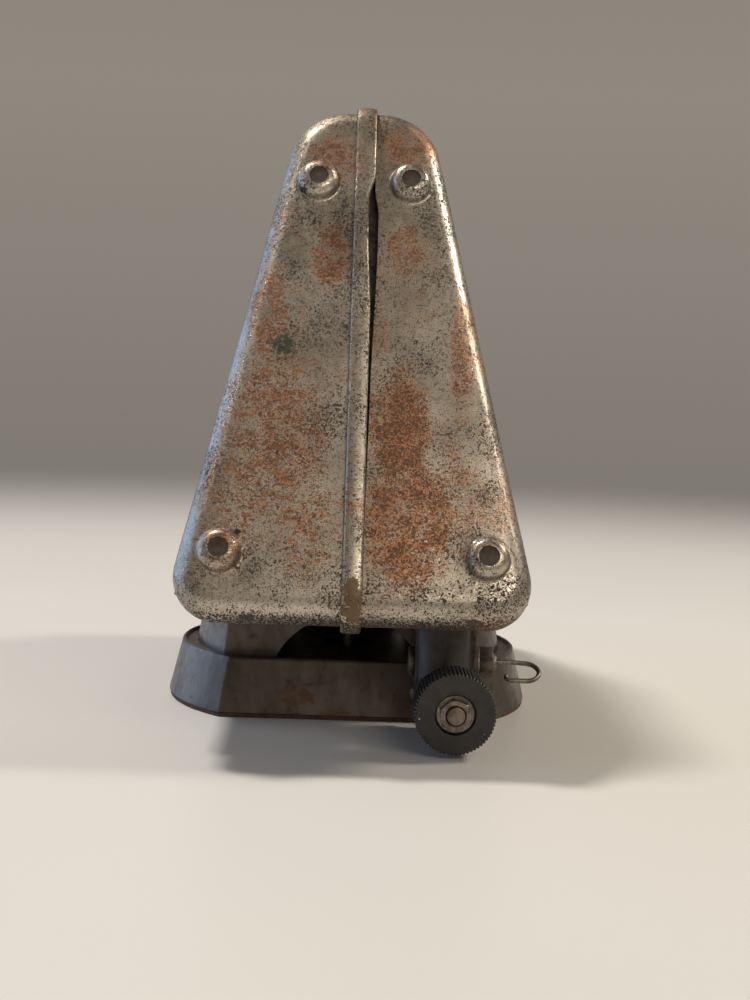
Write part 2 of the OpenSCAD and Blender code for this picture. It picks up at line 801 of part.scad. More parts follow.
// Lugs that stand on the bottom flange of the shell and hold the hinge rods
module hinge_brackets() {
    color(steel) for (x = [-1, 1], y = [-1, 1]) difference() {
        union() {
            rod_y(x * hinge_x, hinge_z, y * bracket_y - 1, y * bracket_y + 1, bracket_radius);
            translate([x * (bracket_foot[0] + bracket_foot[1]) / 2, y * bracket_y, opening_floor])
                translate([(bracket_foot[0] - bracket_foot[1]) / 2, -1, 0])
                    cube([bracket_foot[1] - bracket_foot[0], 2, hinge_z + bracket_radius - opening_floor]);
            translate([x * (bracket_foot[1] + hinge_x) / 2, y * bracket_y, hinge_z])
                translate([(bracket_foot[1] - hinge_x) / 2, -1, -1.2])
                    cube([hinge_x - bracket_foot[1], 2, 1.2 + bracket_radius]);
        }
        rod_y(x * hinge_x, hinge_z, y * bracket_y - 3, y * bracket_y + 3, hinge_rod_radius);
    }
}

module door_panel() {
    difference() {
        union() {
            on_side(door_low_z, door_inset + door_sheet) linear_extrude(door_sheet)
                side_outline(door_low_z, door_top_z, door_margin);
            for (span = knuckle_spans) rod_y(hinge_x, hinge_z, span[0], span[1], knuckle_radius);
        }
        rod_y(hinge_x, hinge_z, -90, 90, hinge_rod_radius + slip);
        for (i = [0:louvre_count - 1]) on_side(70, 5)
            translate([-52, (i - (louvre_count - 1) / 2) * louvre_pitch - 1.5, 0]) cube([48, 3, 10]);
    }
}

module toast_tray() {
    edge = inside(tray_z + tray_sheet / 2, door_inset + door_sheet) - 0.25;
    translate([tray_in_x, -tray_half, tray_z]) cube([edge - tray_in_x, 2 * tray_half, tray_sheet]);
    on_side(tray_z, door_inset + door_sheet + tray_sheet) translate([-tray_lip, -tray_half, 0])
        cube([tray_lip, 2 * tray_half, tray_sheet]);
}

module door_ear() {
    pin = [hinge_x, hinge_z] + crank_step;
    rod_y(pin[0], pin[1], crank_y, crank_y + crank_sheet, crank_eye);
    translate([pin[0] - crank_eye, crank_y, pin[1]]) cube([2 * crank_eye, crank_sheet, tray_z - pin[1]]);
    crank_pin(pin);
}

module door_panel_right() { color(nickel) door_panel(); }
module door_panel_left() { color(nickel) rotate([0, 0, 180]) door_panel(); }
module toast_tray_right() { color(nickel) toast_tray(); }
module toast_tray_left() { color(nickel) rotate([0, 0, 180]) toast_tray(); }
module door_ear_right() { color(steel) door_ear(); }
module door_ear_left() { color(steel) rotate([0, 0, 180]) door_ear(); }

shell_left();
shell_right();
floor_plate();
end_frame_front();
end_frame_rear();
shell_rivets();
guard_rods();
guard_wires_right();
guard_wires_left();
mica_card_right();
mica_card_left();
heater_ribbon_right();
heater_ribbon_left();
card_rails_lower();
card_rail_upper();
bus_bars();
base_skirt();
base_plinth();
base_pad();
bottom_plate();
centre_stud();
centre_nuts();
centre_spacer();
plinth_screws();
inlet_insulator();
inlet_shroud();
terminal_pins();
bearing_blocks();
stud_brackets();
cross_studs();
cross_washers();
cross_nuts();
wire_loops();
hinge_rods();
hinge_brackets();
knob_right();
knob_washer_right();
knob_nut_right();
spindle_right();
link_right();
door_panel_right();
toast_tray_right();
door_ear_right();
knob_left();
knob_washer_left();
knob_nut_left();
spindle_left();
link_left();
door_panel_left();
toast_tray_left();
door_ear_left();
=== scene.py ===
"""Looks for the turn-over electric toaster: worn nickel shells, dark base, knurled black knobs.

Shapes are worked out in millimetres and turned into metres as their meshes are made, in the frame of the CAD
model: X right, Y rear, Z up. The stage, lights and camera are in metres.
"""
import json
import math

import bmesh
import bpy
from mathutils import Matrix, Vector, noise
from mathutils.geometry import delaunay_2d_cdt


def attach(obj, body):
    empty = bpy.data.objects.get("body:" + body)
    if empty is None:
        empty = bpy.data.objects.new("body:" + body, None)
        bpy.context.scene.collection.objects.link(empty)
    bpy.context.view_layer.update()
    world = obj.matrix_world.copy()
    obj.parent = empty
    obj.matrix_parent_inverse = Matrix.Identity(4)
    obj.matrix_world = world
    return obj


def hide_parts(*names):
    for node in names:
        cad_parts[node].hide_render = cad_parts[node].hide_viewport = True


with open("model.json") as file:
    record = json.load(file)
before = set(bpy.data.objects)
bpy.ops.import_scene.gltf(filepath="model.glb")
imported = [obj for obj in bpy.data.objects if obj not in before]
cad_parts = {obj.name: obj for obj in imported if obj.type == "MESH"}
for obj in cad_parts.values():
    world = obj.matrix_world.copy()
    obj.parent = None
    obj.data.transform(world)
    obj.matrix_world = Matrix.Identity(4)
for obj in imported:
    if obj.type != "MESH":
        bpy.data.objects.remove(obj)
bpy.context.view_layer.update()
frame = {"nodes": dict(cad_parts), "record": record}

MM = 0.001

# ---- Driving dimensions, millimetres, the same as in the CAD source ----
BODY_TOP, BODY_BOTTOM = 176.0, 36.0
HALF_WIDTH_LOW, HALF_WIDTH_TOP = 50.0, 18.5
HALF_LENGTH_LOW, HALF_LENGTH_TOP = 101.5, 41.5
CORNER_LOW, CORNER_TOP, EDGE_ROLL, WALL = 12.0, 17.0, 6.5, 1.0
BOSSES = ((35.0, 55.0), (12.9, 155.2))
BOSS_RADIUS, BOSS_HEIGHT, BOSS_HOLE = 5.8, 4.0, 2.6
RIB_HALF, RIB_HEIGHT = 2.8, 1.8
DOOR_TOP, DOOR_LOW, DOOR_MARGIN, DOOR_PLAY = 148.0, 41.2, 20.0, 0.8
OPENING_LOW = 37.5
FLANGE_EDGE, FLANGE_END = 12.0, 70.0
SKIRT_RADIUS, SKIRT_FLAT, SKIRT_FLARE, SKIRT_HEIGHT = 56.0, 41.5, 4.0, 17.6
PAD_SHEET, DECK_TOP = 1.2, 16.6
PLINTH_RADIUS, PLINTH_FLAT, PLINTH_FLARE = 47.5, 29.5, 3.0
ARCH_RADIUS, ARCH_Z = 24.5, 5.0
SPINDLE_X, SPINDLE_Z = 28.7, 12.4
KNOB_RADIUS, KNOB_FRONT, KNOB_BACK = 11.1, -87.0, -74.0
HUB_RADIUS, HUB_END = 7.0, -66.2
NUT_FLATS, NUT_HEIGHT, SPINDLE_RADIUS = 7.9, 2.6, 2.4
KNURL_TEETH, KNURL_DEPTH = 64, 0.5
INLET_WIDTH, INLET_HEIGHT, INLET_Z = 37.0, 16.8, 26.3
SLOT_PITCH, SLOT_HALF, SLOT_LENGTH, SLOT_FOOT_Z = 12.0, 1.5, 48.0, 70.0
SLOTS = range(-3, 4)
HINGE_X, HINGE_Z = 44.5, 43.0
LOOP_WIRE, LOOP_BEND, LOOP_BEND_X = 0.68, 4.0, 50.0
LOOP_START_X, LOOP_TILT = 39.0, math.radians(28)
STUD_Y, STUD_Z = -54.1, 21.0

SIDE_SLOPE = (HALF_WIDTH_LOW - HALF_WIDTH_TOP) / (BODY_TOP - BODY_BOTTOM)
SIDE_ANGLE = math.atan(SIDE_SLOPE)
END_SLOPE = (HALF_LENGTH_LOW - HALF_LENGTH_TOP) / (BODY_TOP - BODY_BOTTOM)
LEAN = math.atan(END_SLOPE)
END_NORMAL = Vector((0, -math.cos(LEAN), math.sin(LEAN)))
END_UP = Vector((0, math.sin(LEAN), math.cos(LEAN)))


def half_width(z):
    return HALF_WIDTH_LOW - SIDE_SLOPE * (z - BODY_BOTTOM)


def half_length(z):
    return HALF_LENGTH_LOW - END_SLOPE * (z - BODY_BOTTOM)


def on_end(x, s, depth=0.0):
    """A point on the front end face: x across, s up along the face from the lower edge, depth out of it."""
    foot = Vector((x, -HALF_LENGTH_LOW, BODY_BOTTOM))
    return foot + END_UP * s + END_NORMAL * depth


def face_s(z):
    return (z - BODY_BOTTOM) / math.cos(LEAN)


def turned(v):
    return Vector((-v[0], -v[1], v[2]))


def mirrored(v):
    return Vector((v[0], -v[1], v[2]))


def smooth(a, b, t):
    t = min(1.0, max(0.0, (t - a) / (b - a)))
    return t * t * (3 - 2 * t)


# ---- Building meshes ----

def mesh_object(name, verts, faces, smooth_angle=40):
    """A mesh object from millimetre points, with its doubles merged and its faces turned outwards."""
    mesh = bpy.data.meshes.new(name)
    mesh.from_pydata([Vector(v) * MM for v in verts], [], faces)
    bm = bmesh.new()
    bm.from_mesh(mesh)
    bmesh.ops.remove_doubles(bm, verts=bm.verts, dist=0.00001)
    bmesh.ops.dissolve_degenerate(bm, edges=bm.edges, dist=0.000001)
    bmesh.ops.recalc_face_normals(bm, faces=bm.faces)
    bm.to_mesh(mesh)
    bm.free()
    obj = bpy.data.objects.new(name, mesh)
    bpy.context.scene.collection.objects.link(obj)
    shade(obj, smooth_angle)
    return obj


def shade(obj, angle=40):
    for p in obj.data.polygons:
        p.use_smooth = True
    obj.data.set_sharp_from_angle(angle=math.radians(angle))


def apply_modifiers(obj):
    graph = bpy.context.evaluated_depsgraph_get()
    mesh = bpy.data.meshes.new_from_object(obj.evaluated_get(graph))
    obj.modifiers.clear()
    old = obj.data
    obj.data = mesh
    bpy.data.meshes.remove(old)


def join(name, objects, smooth_angle=40):
    """One object from several."""
    bm = bmesh.new()
    for o in objects:
        bm.from_mesh(o.data)
    mesh = bpy.data.meshes.new(name)
    bm.to_mesh(mesh)
    bm.free()
    for o in objects:
        bpy.data.objects.remove(o)
    obj = bpy.data.objects.new(name, mesh)
    bpy.context.scene.collection.objects.link(obj)
    shade(obj, smooth_angle)
    return obj


def turned_copy(obj, name):
    """The same piece at the opposite corner, half a turn about Z."""
    copy = bpy.data.objects.new(name, obj.data.copy())
    copy.data.transform(Matrix.Rotation(math.pi, 4, "Z"))
    bpy.context.scene.collection.objects.link(copy)
    return copy


def bridge(rings, closed=True):
    """Quads between successive rings of the same length, as (verts, faces)."""
    n = len(rings[0])
    verts = [v for ring in rings for v in ring]
    last = n if closed else n - 1
    faces = []
    for r in range(len(rings) - 1):
        for i in range(last):
            j = (i + 1) % n
            faces.append((r * n + i, r * n + j, (r + 1) * n + j, (r + 1) * n + i))
    return verts, faces


def circle(count):
    """Unit vectors round a circle."""
    return [Vector((math.cos(a), math.sin(a))) for a in (2 * math.pi * i / count for i in range(count))]


def ring_edges(base, count):
    """Index pairs of a closed outline whose first point has the index base."""
    return [(base + i, base + (i + 1) % count) for i in range(count)]


def merge(parts):
    verts, faces = [], []
    for v, f in parts:
        base = len(verts)
        verts += list(v)
        faces += [tuple(i + base for i in face) for face in f]
    return verts, faces


def lathe(name, profile, centre, steps=96, change=None, smooth_angle=35):
    """Turns (radius, y) points about an axis along Y through (x, z); change(angle, k) alters the radius."""
    rings = []
    for k, (r, y) in enumerate(profile):
        ring = []
        for i in range(steps):
            a = 2 * math.pi * i / steps
            q = r + (change(a, k) if change else 0)
            ring.append(Vector((centre[0] + q * math.cos(a), y, centre[1] + q * math.sin(a))))
        rings.append(ring)
    verts, faces = bridge(rings)
    return mesh_object(name, verts, faces, smooth_angle)


def softened(node, width=0.25, segments=2, angle=35):
    """A copy of a CAD node's mesh with its edges rounded, standing for the node."""
    source = frame["nodes"][node]
    mesh = source.data.copy()
    mesh.materials.clear()
    bm = bmesh.new()
    bm.from_mesh(mesh)
    bmesh.ops.remove_doubles(bm, verts=bm.verts, dist=0.00002)
    bmesh.ops.dissolve_limit(bm, angle_limit=math.radians(1), verts=bm.verts, edges=bm.edges)
    bm.to_mesh(mesh)
    bm.free()
    obj = bpy.data.objects.new(node + "_finished", mesh)
    bpy.context.scene.collection.objects.link(obj)
    bevel = obj.modifiers.new("edge", "BEVEL")
    bevel.width = width * MM
    bevel.segments = segments
    bevel.limit_method = "ANGLE"
    bevel.angle_limit = math.radians(angle)
    bevel.use_clamp_overlap = True
    apply_modifiers(obj)
    shade(obj, 30)
    return obj


def place(obj, body, slot, material, *nodes):
    obj.data.materials.clear()
    obj.data.materials.append(material)
    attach(obj, body)
    if nodes:
        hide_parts(*nodes)
    return obj


# ---- Materials ----

class Graph:
    """Short calls for building a node tree."""

    def __init__(self, name):
        self.material = bpy.data.materials.new(name)
        self.material.use_nodes = True
        self.tree = self.material.node_tree
        self.shader = self.tree.nodes["Principled BSDF"]
        coords = self.tree.nodes.new("ShaderNodeTexCoord")
        scale = self.tree.nodes.new("ShaderNodeVectorMath")
        scale.operation = "SCALE"
        scale.inputs["Scale"].default_value = 1000
        self.link(coords.outputs["Object"], scale.inputs[0])
        self.point = scale.outputs[0]

    def link(self, a, b):
        self.tree.links.new(a, b)

    def put(self, value, socket):
        if hasattr(value, "links"):
            self.link(value, socket)
        else:
            socket.default_value = value

    def noise(self, scale, detail=3.0, rough=0.55, distortion=0.0, at=None, offset=None):
        where = at or self.point
        if offset:
            where = self.shift(where, offset)
        n = self.tree.nodes.new("ShaderNodeTexNoise")
        self.link(where, n.inputs["Vector"])
        n.inputs["Scale"].default_value = scale
        n.inputs["Detail"].default_value = detail
        n.inputs["Roughness"].default_value = rough
        n.inputs["Distortion"].default_value = distortion
        return n.outputs["Fac"]

    def shift(self, where, offset):
        n = self.tree.nodes.new("ShaderNodeVectorMath")
        n.operation = "ADD"
        self.link(where, n.inputs[0])
        n.inputs[1].default_value = offset
        return n.outputs[0]

    def stretch(self, factors, turn=(0, 0, 0)):
        n = self.tree.nodes.new("ShaderNodeMapping")
        self.link(self.point, n.inputs["Vector"])
        n.inputs["Scale"].default_value = factors
        n.inputs["Rotation"].default_value = [math.radians(a) for a in turn]
        return n.outputs[0]

    def cells(self, scale):
        n = self.tree.nodes.new("ShaderNodeTexVoronoi")
        self.link(self.point, n.inputs["Vector"])
        n.inputs["Scale"].default_value = scale
        return n.outputs["Distance"]

    def ramp(self, value, low, high, start=0.0, end=1.0):
        n = self.tree.nodes.new("ShaderNodeMapRange")
        n.interpolation_type = "SMOOTHSTEP"
        self.put(value, n.inputs["Value"])
        n.inputs["From Min"].default_value = low
        n.inputs["From Max"].default_value = high
        n.inputs["To Min"].default_value = start
        n.inputs["To Max"].default_value = end
        return n.outputs["Result"]

    def math(self, operation, a, b=0.0):
        n = self.tree.nodes.new("ShaderNodeMath")
        n.operation = operation
        n.use_clamp = operation in ("ADD", "SUBTRACT")
        self.put(a, n.inputs[0])
        self.put(b, n.inputs[1])
        return n.outputs[0]

    def mix(self, factor, a, b):
        n = self.tree.nodes.new("ShaderNodeMix")
        n.data_type = "RGBA"
        self.put(factor, n.inputs["Factor"])
        self.put((*a, 1) if isinstance(a, tuple) else a, n.inputs["A"])
        self.put((*b, 1) if isinstance(b, tuple) else b, n.inputs["B"])
        return n.outputs["Result"]

    def blob(self, centre, radius, soft=0.5):
        """1 near a point and 0 away from it, in millimetres; radius gives the reach along each axis."""
        n = self.tree.nodes.new("ShaderNodeVectorMath")
        n.operation = "SUBTRACT"
        self.link(self.point, n.inputs[0])
        n.inputs[1].default_value = centre
        s = self.tree.nodes.new("ShaderNodeVectorMath")
        s.operation = "DIVIDE"
        self.link(n.outputs[0], s.inputs[0])
        s.inputs[1].default_value = radius
        d = self.tree.nodes.new("ShaderNodeVectorMath")
        d.operation = "LENGTH"
        self.link(s.outputs[0], d.inputs[0])
        return self.ramp(d.outputs["Value"], 1 - soft, 1 + soft, 1.0, 0.0)

    def axis(self, name):
        n = self.tree.nodes.new("ShaderNodeSeparateXYZ")
        self.link(self.point, n.inputs[0])
        return n.outputs[name]

    def most(self, *values):
        out = values[0]
        for v in values[1:]:
            out = self.math("MAXIMUM", out, v)
        return out

    def bump(self, height, strength, distance=0.3):
        n = self.tree.nodes.new("ShaderNodeBump")
        n.inputs["Strength"].default_value = strength
        n.inputs["Distance"].default_value = distance * MM
        self.link(height, n.inputs["Height"])
        self.link(n.outputs[0], self.shader.inputs["Normal"])

    def finish(self, color, metallic, roughness):
        self.put((*color, 1) if isinstance(color, tuple) else color, self.shader.inputs["Base Color"])
        self.put(metallic, self.shader.inputs["Metallic"])
        self.put(roughness, self.shader.inputs["Roughness"])
        return self.material


def worn_nickel(name, patches=(), green=None, rust=(), grain=1.0):
    """Thin nickel over copper on steel: fine dark pits, and copper rubbed through in short strokes."""
    g = Graph(name)
    height = g.axis("Z")
    # Painted reflection: towards the top of the body the plate is darkened to brown, standing in for the
    # dark ceiling reflected there; the same ramp also adds pits and roughness near the top.
    crown_shade_and_pits = g.ramp(height, 158, 177)
    foot = g.ramp(height, 44, 37)
    tone = g.noise(0.06, 3, 0.6)
    plate = g.mix(g.ramp(tone, 0.36, 0.66), (0.50, 0.445, 0.375), (0.36, 0.315, 0.26))
    # Painted reflection of the dark ceiling: a darker brown top.
    plate = g.mix(g.math("MULTIPLY", crown_shade_and_pits, 0.8), plate, (0.22, 0.17, 0.11))

    worn = g.ramp(g.noise(0.05, 3, 0.5, offset=(5, 40, 17)), 0.44, 0.66, 0.12, 0.62)
    for centre, radius, strength in patches:
        worn = g.most(worn, g.math("MULTIPLY", g.blob(centre, radius, 0.5), strength))
    uneven = g.ramp(g.noise(0.17, 4, 0.65, offset=(50, 3, 9)), 0.32, 0.64, 0.72, 1.16)
    worn = g.math("MULTIPLY", worn, uneven)
    rising = g.noise(grain, 3, 0.7, 1.0, at=g.stretch((0.62, 1.0, 1.7), (0, -28, 0)))
    falling = g.noise(grain, 3, 0.7, 1.2, at=g.stretch((0.8, 1.1, 1.5), (0, 12, 0)))
    strokes = g.most(rising, falling)
    copper = g.ramp(g.math("ADD", strokes, g.math("MULTIPLY", worn, 0.245)), 0.715, 0.755)
    copper_mottle = g.ramp(g.noise(0.45, 3, offset=(7, 7, 7)), 0.35, 0.65)
    copper_tone = g.mix(copper_mottle, (0.51, 0.235, 0.118), (0.29, 0.13, 0.062))
    gold = g.ramp(g.noise(2.1, 2, 0.5, offset=(31, 8, 3)), 0.56, 0.66, 0.0, 0.6)
    copper_tone = g.mix(gold, copper_tone, (0.47, 0.33, 0.18))
    color = g.mix(copper, plate, copper_tone)

    pitted = g.ramp(g.noise(0.085, 4, 0.6, offset=(90, 12, 55)), 0.36, 0.64, 0.28, 0.95)
    pitted = g.most(pitted, g.math("MULTIPLY", crown_shade_and_pits, 0.95), g.math("MULTIPLY", foot, 1.25),
                    g.math("MULTIPLY", worn, 0.9))
    pits = g.noise(1.45, 3.5, 0.66, 0.5)
    pit = g.ramp(g.math("ADD", pits, g.math("MULTIPLY", pitted, 0.16)), 0.655, 0.69)
    fine = g.noise(2.7, 2, 0.5, offset=(4, 9, 1))
    fine = g.ramp(g.math("ADD", fine, g.math("MULTIPLY", pitted, 0.11)), 0.645, 0.695, 0.0, 0.85)
    dark = g.most(pit, fine)
    dark_tone = g.mix(g.ramp(worn, 0.2, 0.8), (0.034, 0.024, 0.015), (0.095, 0.046, 0.023))
    color = g.mix(dark, color, dark_tone)
    stained = 0.0
    for centre, radius, tint in rust:
        spread = g.math("MULTIPLY", g.blob(centre, radius, 0.6), 0.36)
        ragged = g.ramp(g.math("ADD", g.noise(0.5, 4, 0.65, offset=(2, 2, 2)), spread), 0.68, 0.76)
        color = g.mix(ragged, color, tint)
        stained = g.most(stained, ragged)
    metal = g.math("SUBTRACT", 1.0, g.most(g.math("MULTIPLY", dark, 0.8), stained))
    if green:
        spread = g.math("MULTIPLY", g.blob(*green, 0.8), 0.34)
        ragged = g.ramp(g.math("ADD", g.noise(0.7, 4, 0.7), spread), 0.72, 0.78)
        verdigris = g.mix(g.ramp(g.noise(1.4), 0.4, 0.6), (0.012, 0.015, 0.007), (0.055, 0.068, 0.030))
        color = g.mix(ragged, color, verdigris)
        metal = g.math("SUBTRACT", metal, ragged)
    rough = g.ramp(g.noise(0.9, 4), 0.3, 0.7, 0.24, 0.42)
    rough = g.math("ADD", rough, g.math("MULTIPLY", g.most(dark, g.math("MULTIPLY", crown_shade_and_pits, 0.5)), 0.3))
    depth = g.math("SUBTRACT", 1.0, g.math("MULTIPLY", dark, 0.7))
    g.bump(g.math("SUBTRACT", depth, g.math("MULTIPLY", copper, 0.25)), 0.4, 0.1)
    return g.finish(color, metal, rough)


def dull_nickel(name, rust_at=()):
    """Dark tarnished plate on the base, with stains and rust."""
    g = Graph(name)
    tone = g.noise(0.07, 4, 0.6, at=g.stretch((1, 1, 0.35)))
    color = g.mix(g.ramp(tone, 0.35, 0.65), (0.165, 0.143, 0.118), (0.092, 0.078, 0.064))
    stain = g.ramp(g.noise(0.22, 5, 0.7, 0.6, offset=(13, 5, 77)), 0.50, 0.72, 0.0, 0.65)
    color = g.mix(stain, color, (0.062, 0.046, 0.036))
    spots = g.ramp(g.noise(0.95, 3, 0.6, offset=(3, 3, 9)), 0.66, 0.72)
    color = g.mix(spots, color, (0.085, 0.045, 0.025))
    rust = g.ramp(g.noise(0.3, 5, 0.7, offset=(60, 60, 6)), 0.68, 0.80)
    for centre, radius in rust_at:
        zone = g.blob(centre, radius, 0.35)
        ragged = g.math("ADD", g.noise(0.5, 5, 0.7), g.math("MULTIPLY", zone, 0.22))
        rust = g.most(rust, g.ramp(ragged, 0.62, 0.74))
    color = g.mix(rust, color, g.mix(g.noise(0.8), (0.11, 0.055, 0.026), (0.21, 0.115, 0.055)))
    metal = g.math("SUBTRACT", 0.95, g.math("MULTIPLY", g.most(rust, spots), 0.8))
    rough = g.ramp(g.noise(0.4, 4, 0.6, offset=(1, 2, 3)), 0.3, 0.7, 0.30, 0.46)
    rough = g.math("ADD", rough, g.math("MULTIPLY", rust, 0.35))
    g.bump(g.noise(0.8, 4), 0.12, 0.15)
    return g.finish(color, metal, rough)


def tarnished_steel(name, tint=(0.27, 0.235, 0.20), rough=0.42):
    g = Graph(name)
    darker = tuple(c * 0.45 for c in tint)
    color = g.mix(g.ramp(g.noise(0.35, 5, 0.65), 0.38, 0.68), tint, darker)
    rust = g.ramp(g.noise(0.9, 4, 0.6, offset=(8, 2, 5)), 0.64, 0.74, 0.0, 0.8)
    color = g.mix(rust, color, (0.17, 0.085, 0.045))
    metal = g.math("SUBTRACT", 0.95, g.math("MULTIPLY", rust, 0.8))
    g.bump(g.noise(1.4, 4), 0.15, 0.1)
    return g.finish(color, metal, g.ramp(g.noise(0.7, 3), 0.3, 0.7, rough - 0.08, rough + 0.12))


def phenolic(name):
    """Black moulded phenolic, greyed with handling, with dust in its knurls and a few pale specks."""
    g = Graph(name)
    color = g.mix(g.ramp(g.noise(0.12, 4, 0.6), 0.35, 0.7), (0.015, 0.0145, 0.014), (0.030, 0.028, 0.026))
    dust = g.ramp(g.noise(2.2, 4, 0.7), 0.55, 0.75, 0.0, 0.5)
    color = g.mix(dust, color, (0.060, 0.052, 0.045))
    specks = g.ramp(g.cells(0.42), 0.06, 0.12, 1.0, 0.0)
    some = g.ramp(g.noise(0.16, 1, offset=(2, 5, 8)), 0.56, 0.60)
    color = g.mix(g.math("MULTIPLY", specks, some), color, (0.62, 0.58, 0.52))
    g.bump(g.noise(3.0, 4), 0.12, 0.08)
    return g.finish(color, 0.0, g.ramp(g.noise(0.5, 3), 0.3, 0.7, 0.42, 0.62))


def plain(name, a, b, scale, rough, metallic=0.0, bump=0.1, stretch=(1, 1, 1)):
    """A two-tone mottled material."""
    g = Graph(name)
    n = g.noise(scale, 5, 0.62, at=g.stretch(stretch))
    g.bump(g.noise(scale * 4, 4), bump, 0.12)
    color = g.mix(g.ramp(n, 0.35, 0.68), a, b)
    return g.finish(color, metallic, g.ramp(n, 0.3, 0.7, rough - 0.07, rough + 0.07))


def end_point(x, z):
    p = on_end(x, face_s(z))
    return (p.x, p.y, p.z)


LEFT_PATCHES = (
    (end_point(-22, 84), (16, 22, 30), 0.82), (end_point(-9, 134), (6, 12, 12), 0.9),
    (end_point(-25, 118), (6, 16, 16), 0.88), (end_point(-33, 66), (9, 20, 22), 0.75),
    (end_point(-13, 62), (10, 14, 18), 0.75), (end_point(-8, 162), (9, 14, 8), 0.85),
)
RIGHT_PATCHES = (
    (end_point(11, 86), (9, 22, 20), 1.15), (end_point(14, 64), (14, 18, 20), 1.1),
    (end_point(26, 70), (8, 18, 22), 0.7), (end_point(12, 136), (7, 12, 9), 0.9),
    (end_point(13, 166), (10, 12, 7), 0.95), (end_point(28, 108), (4, 14, 26), 0.8),
    (end_point(5, 110), (3, 14, 14), 0.7),
)
BROWN_STAIN, GREY_STAIN, BLACK_CHIP = (0.12, 0.068, 0.026), (0.035, 0.032, 0.026), (0.006, 0.005, 0.004)
LEFT_RUST = (
    (end_point(0, 44), (3.0, 8, 6), BROWN_STAIN), (end_point(-27, 38.5), (3, 8, 1.5), GREY_STAIN),
    (end_point(-16.6, 152.6), (1.6, 3, 1.2), BLACK_CHIP), (end_point(-30.5, 60), (1.2, 3, 1.0), BLACK_CHIP),
)
RIGHT_RUST = ((end_point(31, 38.5), (3, 8, 1.5), GREY_STAIN),)
GREEN_SPOT = (end_point(-20.5, 109), (4.2, 4.2, 4.6))
NICKEL_LEFT = worn_nickel("worn_nickel_left", LEFT_PATCHES, GREEN_SPOT, LEFT_RUST, 0.8)
NICKEL_RIGHT = worn_nickel("worn_nickel_right", RIGHT_PATCHES, None, RIGHT_RUST, 1.3)
NICKEL_DOOR = worn_nickel("worn_nickel_doors")
BASE_METAL = dull_nickel("dull_nickel", (((-15, -41, 7), (6, 6, 3.2)), ((-3, -41.5, 1.5), (5, 6, 2))))
STEEL = tarnished_steel("tarnished_steel")
DARK_STEEL = tarnished_steel("darkened_hardware", (0.135, 0.115, 0.10), 0.5)
NUT_STEEL = tarnished_steel("knob_hardware", (0.22, 0.175, 0.145), 0.42)
RIVET = plain("rivet_brown", (0.060, 0.042, 0.032), (0.11, 0.08, 0.062), 0.5, 0.75, 0.3)
BLACK = phenolic("black_phenolic")
PORCELAIN = plain("porcelain", (0.80, 0.77, 0.69), (0.66, 0.60, 0.50), 0.12, 0.42)
MICA = plain("mica", (0.44, 0.34, 0.20), (0.31, 0.22, 0.12), 0.09, 0.3, 0.15, stretch=(1, 0.5, 1.5))
RIBBON = plain("nichrome", (0.16, 0.14, 0.13), (0.08, 0.07, 0.07), 0.8, 0.55, 0.8)
BRASS = plain("brass", (0.46, 0.32, 0.13), (0.28, 0.18, 0.08), 0.5, 0.38, 0.95)
FIBRE = plain("red_fibre", (0.105, 0.042, 0.030), (0.06, 0.028, 0.022), 0.6, 0.85)
BLOCK = plain("block_phenolic", (0.040, 0.030, 0.024), (0.022, 0.019, 0.017), 0.25, 0.45, 0.0, 0.15)


# ---- The two half shells ----

def core_outline(steps=14):
    """The right half of the line round which the shell's edge is rolled, from the top middle to the bottom
    middle: (x, s, nx, ns) in the plane of the end face, one edge roll inside the end face."""
    reach_low = (CORNER_LOW - EDGE_ROLL) * math.cos(LEAN) + EDGE_ROLL
    reach_top = (CORNER_TOP - EDGE_ROLL) * math.cos(LEAN) + EDGE_ROLL
    z_low, z_top = BODY_BOTTOM + reach_low, BODY_TOP - reach_top
    low = Vector((half_width(z_low) - CORNER_LOW / math.cos(SIDE_ANGLE), z_low / math.cos(LEAN)))
    top = Vector((half_width(z_top) - CORNER_TOP / math.cos(SIDE_ANGLE), z_top / math.cos(LEAN)))
    r_low, r_top = CORNER_LOW - EDGE_ROLL, CORNER_TOP - EDGE_ROLL
    run = low - top
    tangent = math.atan2(run.y, run.x) + math.acos((r_top - r_low) / run.length)
    points = []
    for i in range(6):
        points.append((top.x * i / 6, top.y + r_top, 0.0, 1.0))
    for i in range(steps + 1):
        a = math.pi / 2 + (tangent - math.pi / 2) * i / steps
        points.append((top.x + r_top * math.cos(a), top.y + r_top * math.sin(a), math.cos(a), math.sin(a)))
    m = (math.cos(tangent), math.sin(tangent))
    a_point = Vector((top.x + r_top * m[0], top.y + r_top * m[1]))
    b_point = Vector((low.x + r_low * m[0], low.y + r_low * m[1]))
    for i in range(1, 56):
        p = a_point.lerp(b_point, i / 56)
        points.append((p.x, p.y, *m))
    for i in range(steps + 1):
        a = tangent + (-math.pi / 2 - tangent) * i / steps
        points.append((low.x + r_low * math.cos(a), low.y + r_low * math.sin(a), math.cos(a), math.sin(a)))
    for i in range(1, 17):
        points.append((low.x * (1 - i / 16), low.y - r_low, 0.0, -1.0))
    return points


OUTLINE = core_outline()


def core_point(x, s):
    """A point of the core outline at the front end."""
    z = s * math.cos(LEAN)
    on_face_y = -half_length(z + EDGE_ROLL * math.sin(LEAN))
    return Vector((x, on_face_y + EDGE_ROLL * math.cos(LEAN), z))


def side_normal(nx, ns):
    return Vector((nx * math.cos(LEAN), 0, ns)).normalized()


def ripple(p, normal):
    """Faint unevenness of old pressed sheet."""
    q = Vector(p)
    wave = noise.noise(q / 17.0) * 0.13 + noise.noise(q / 6.0 + Vector((9, 4, 2))) * 0.035
    return q + normal * wave


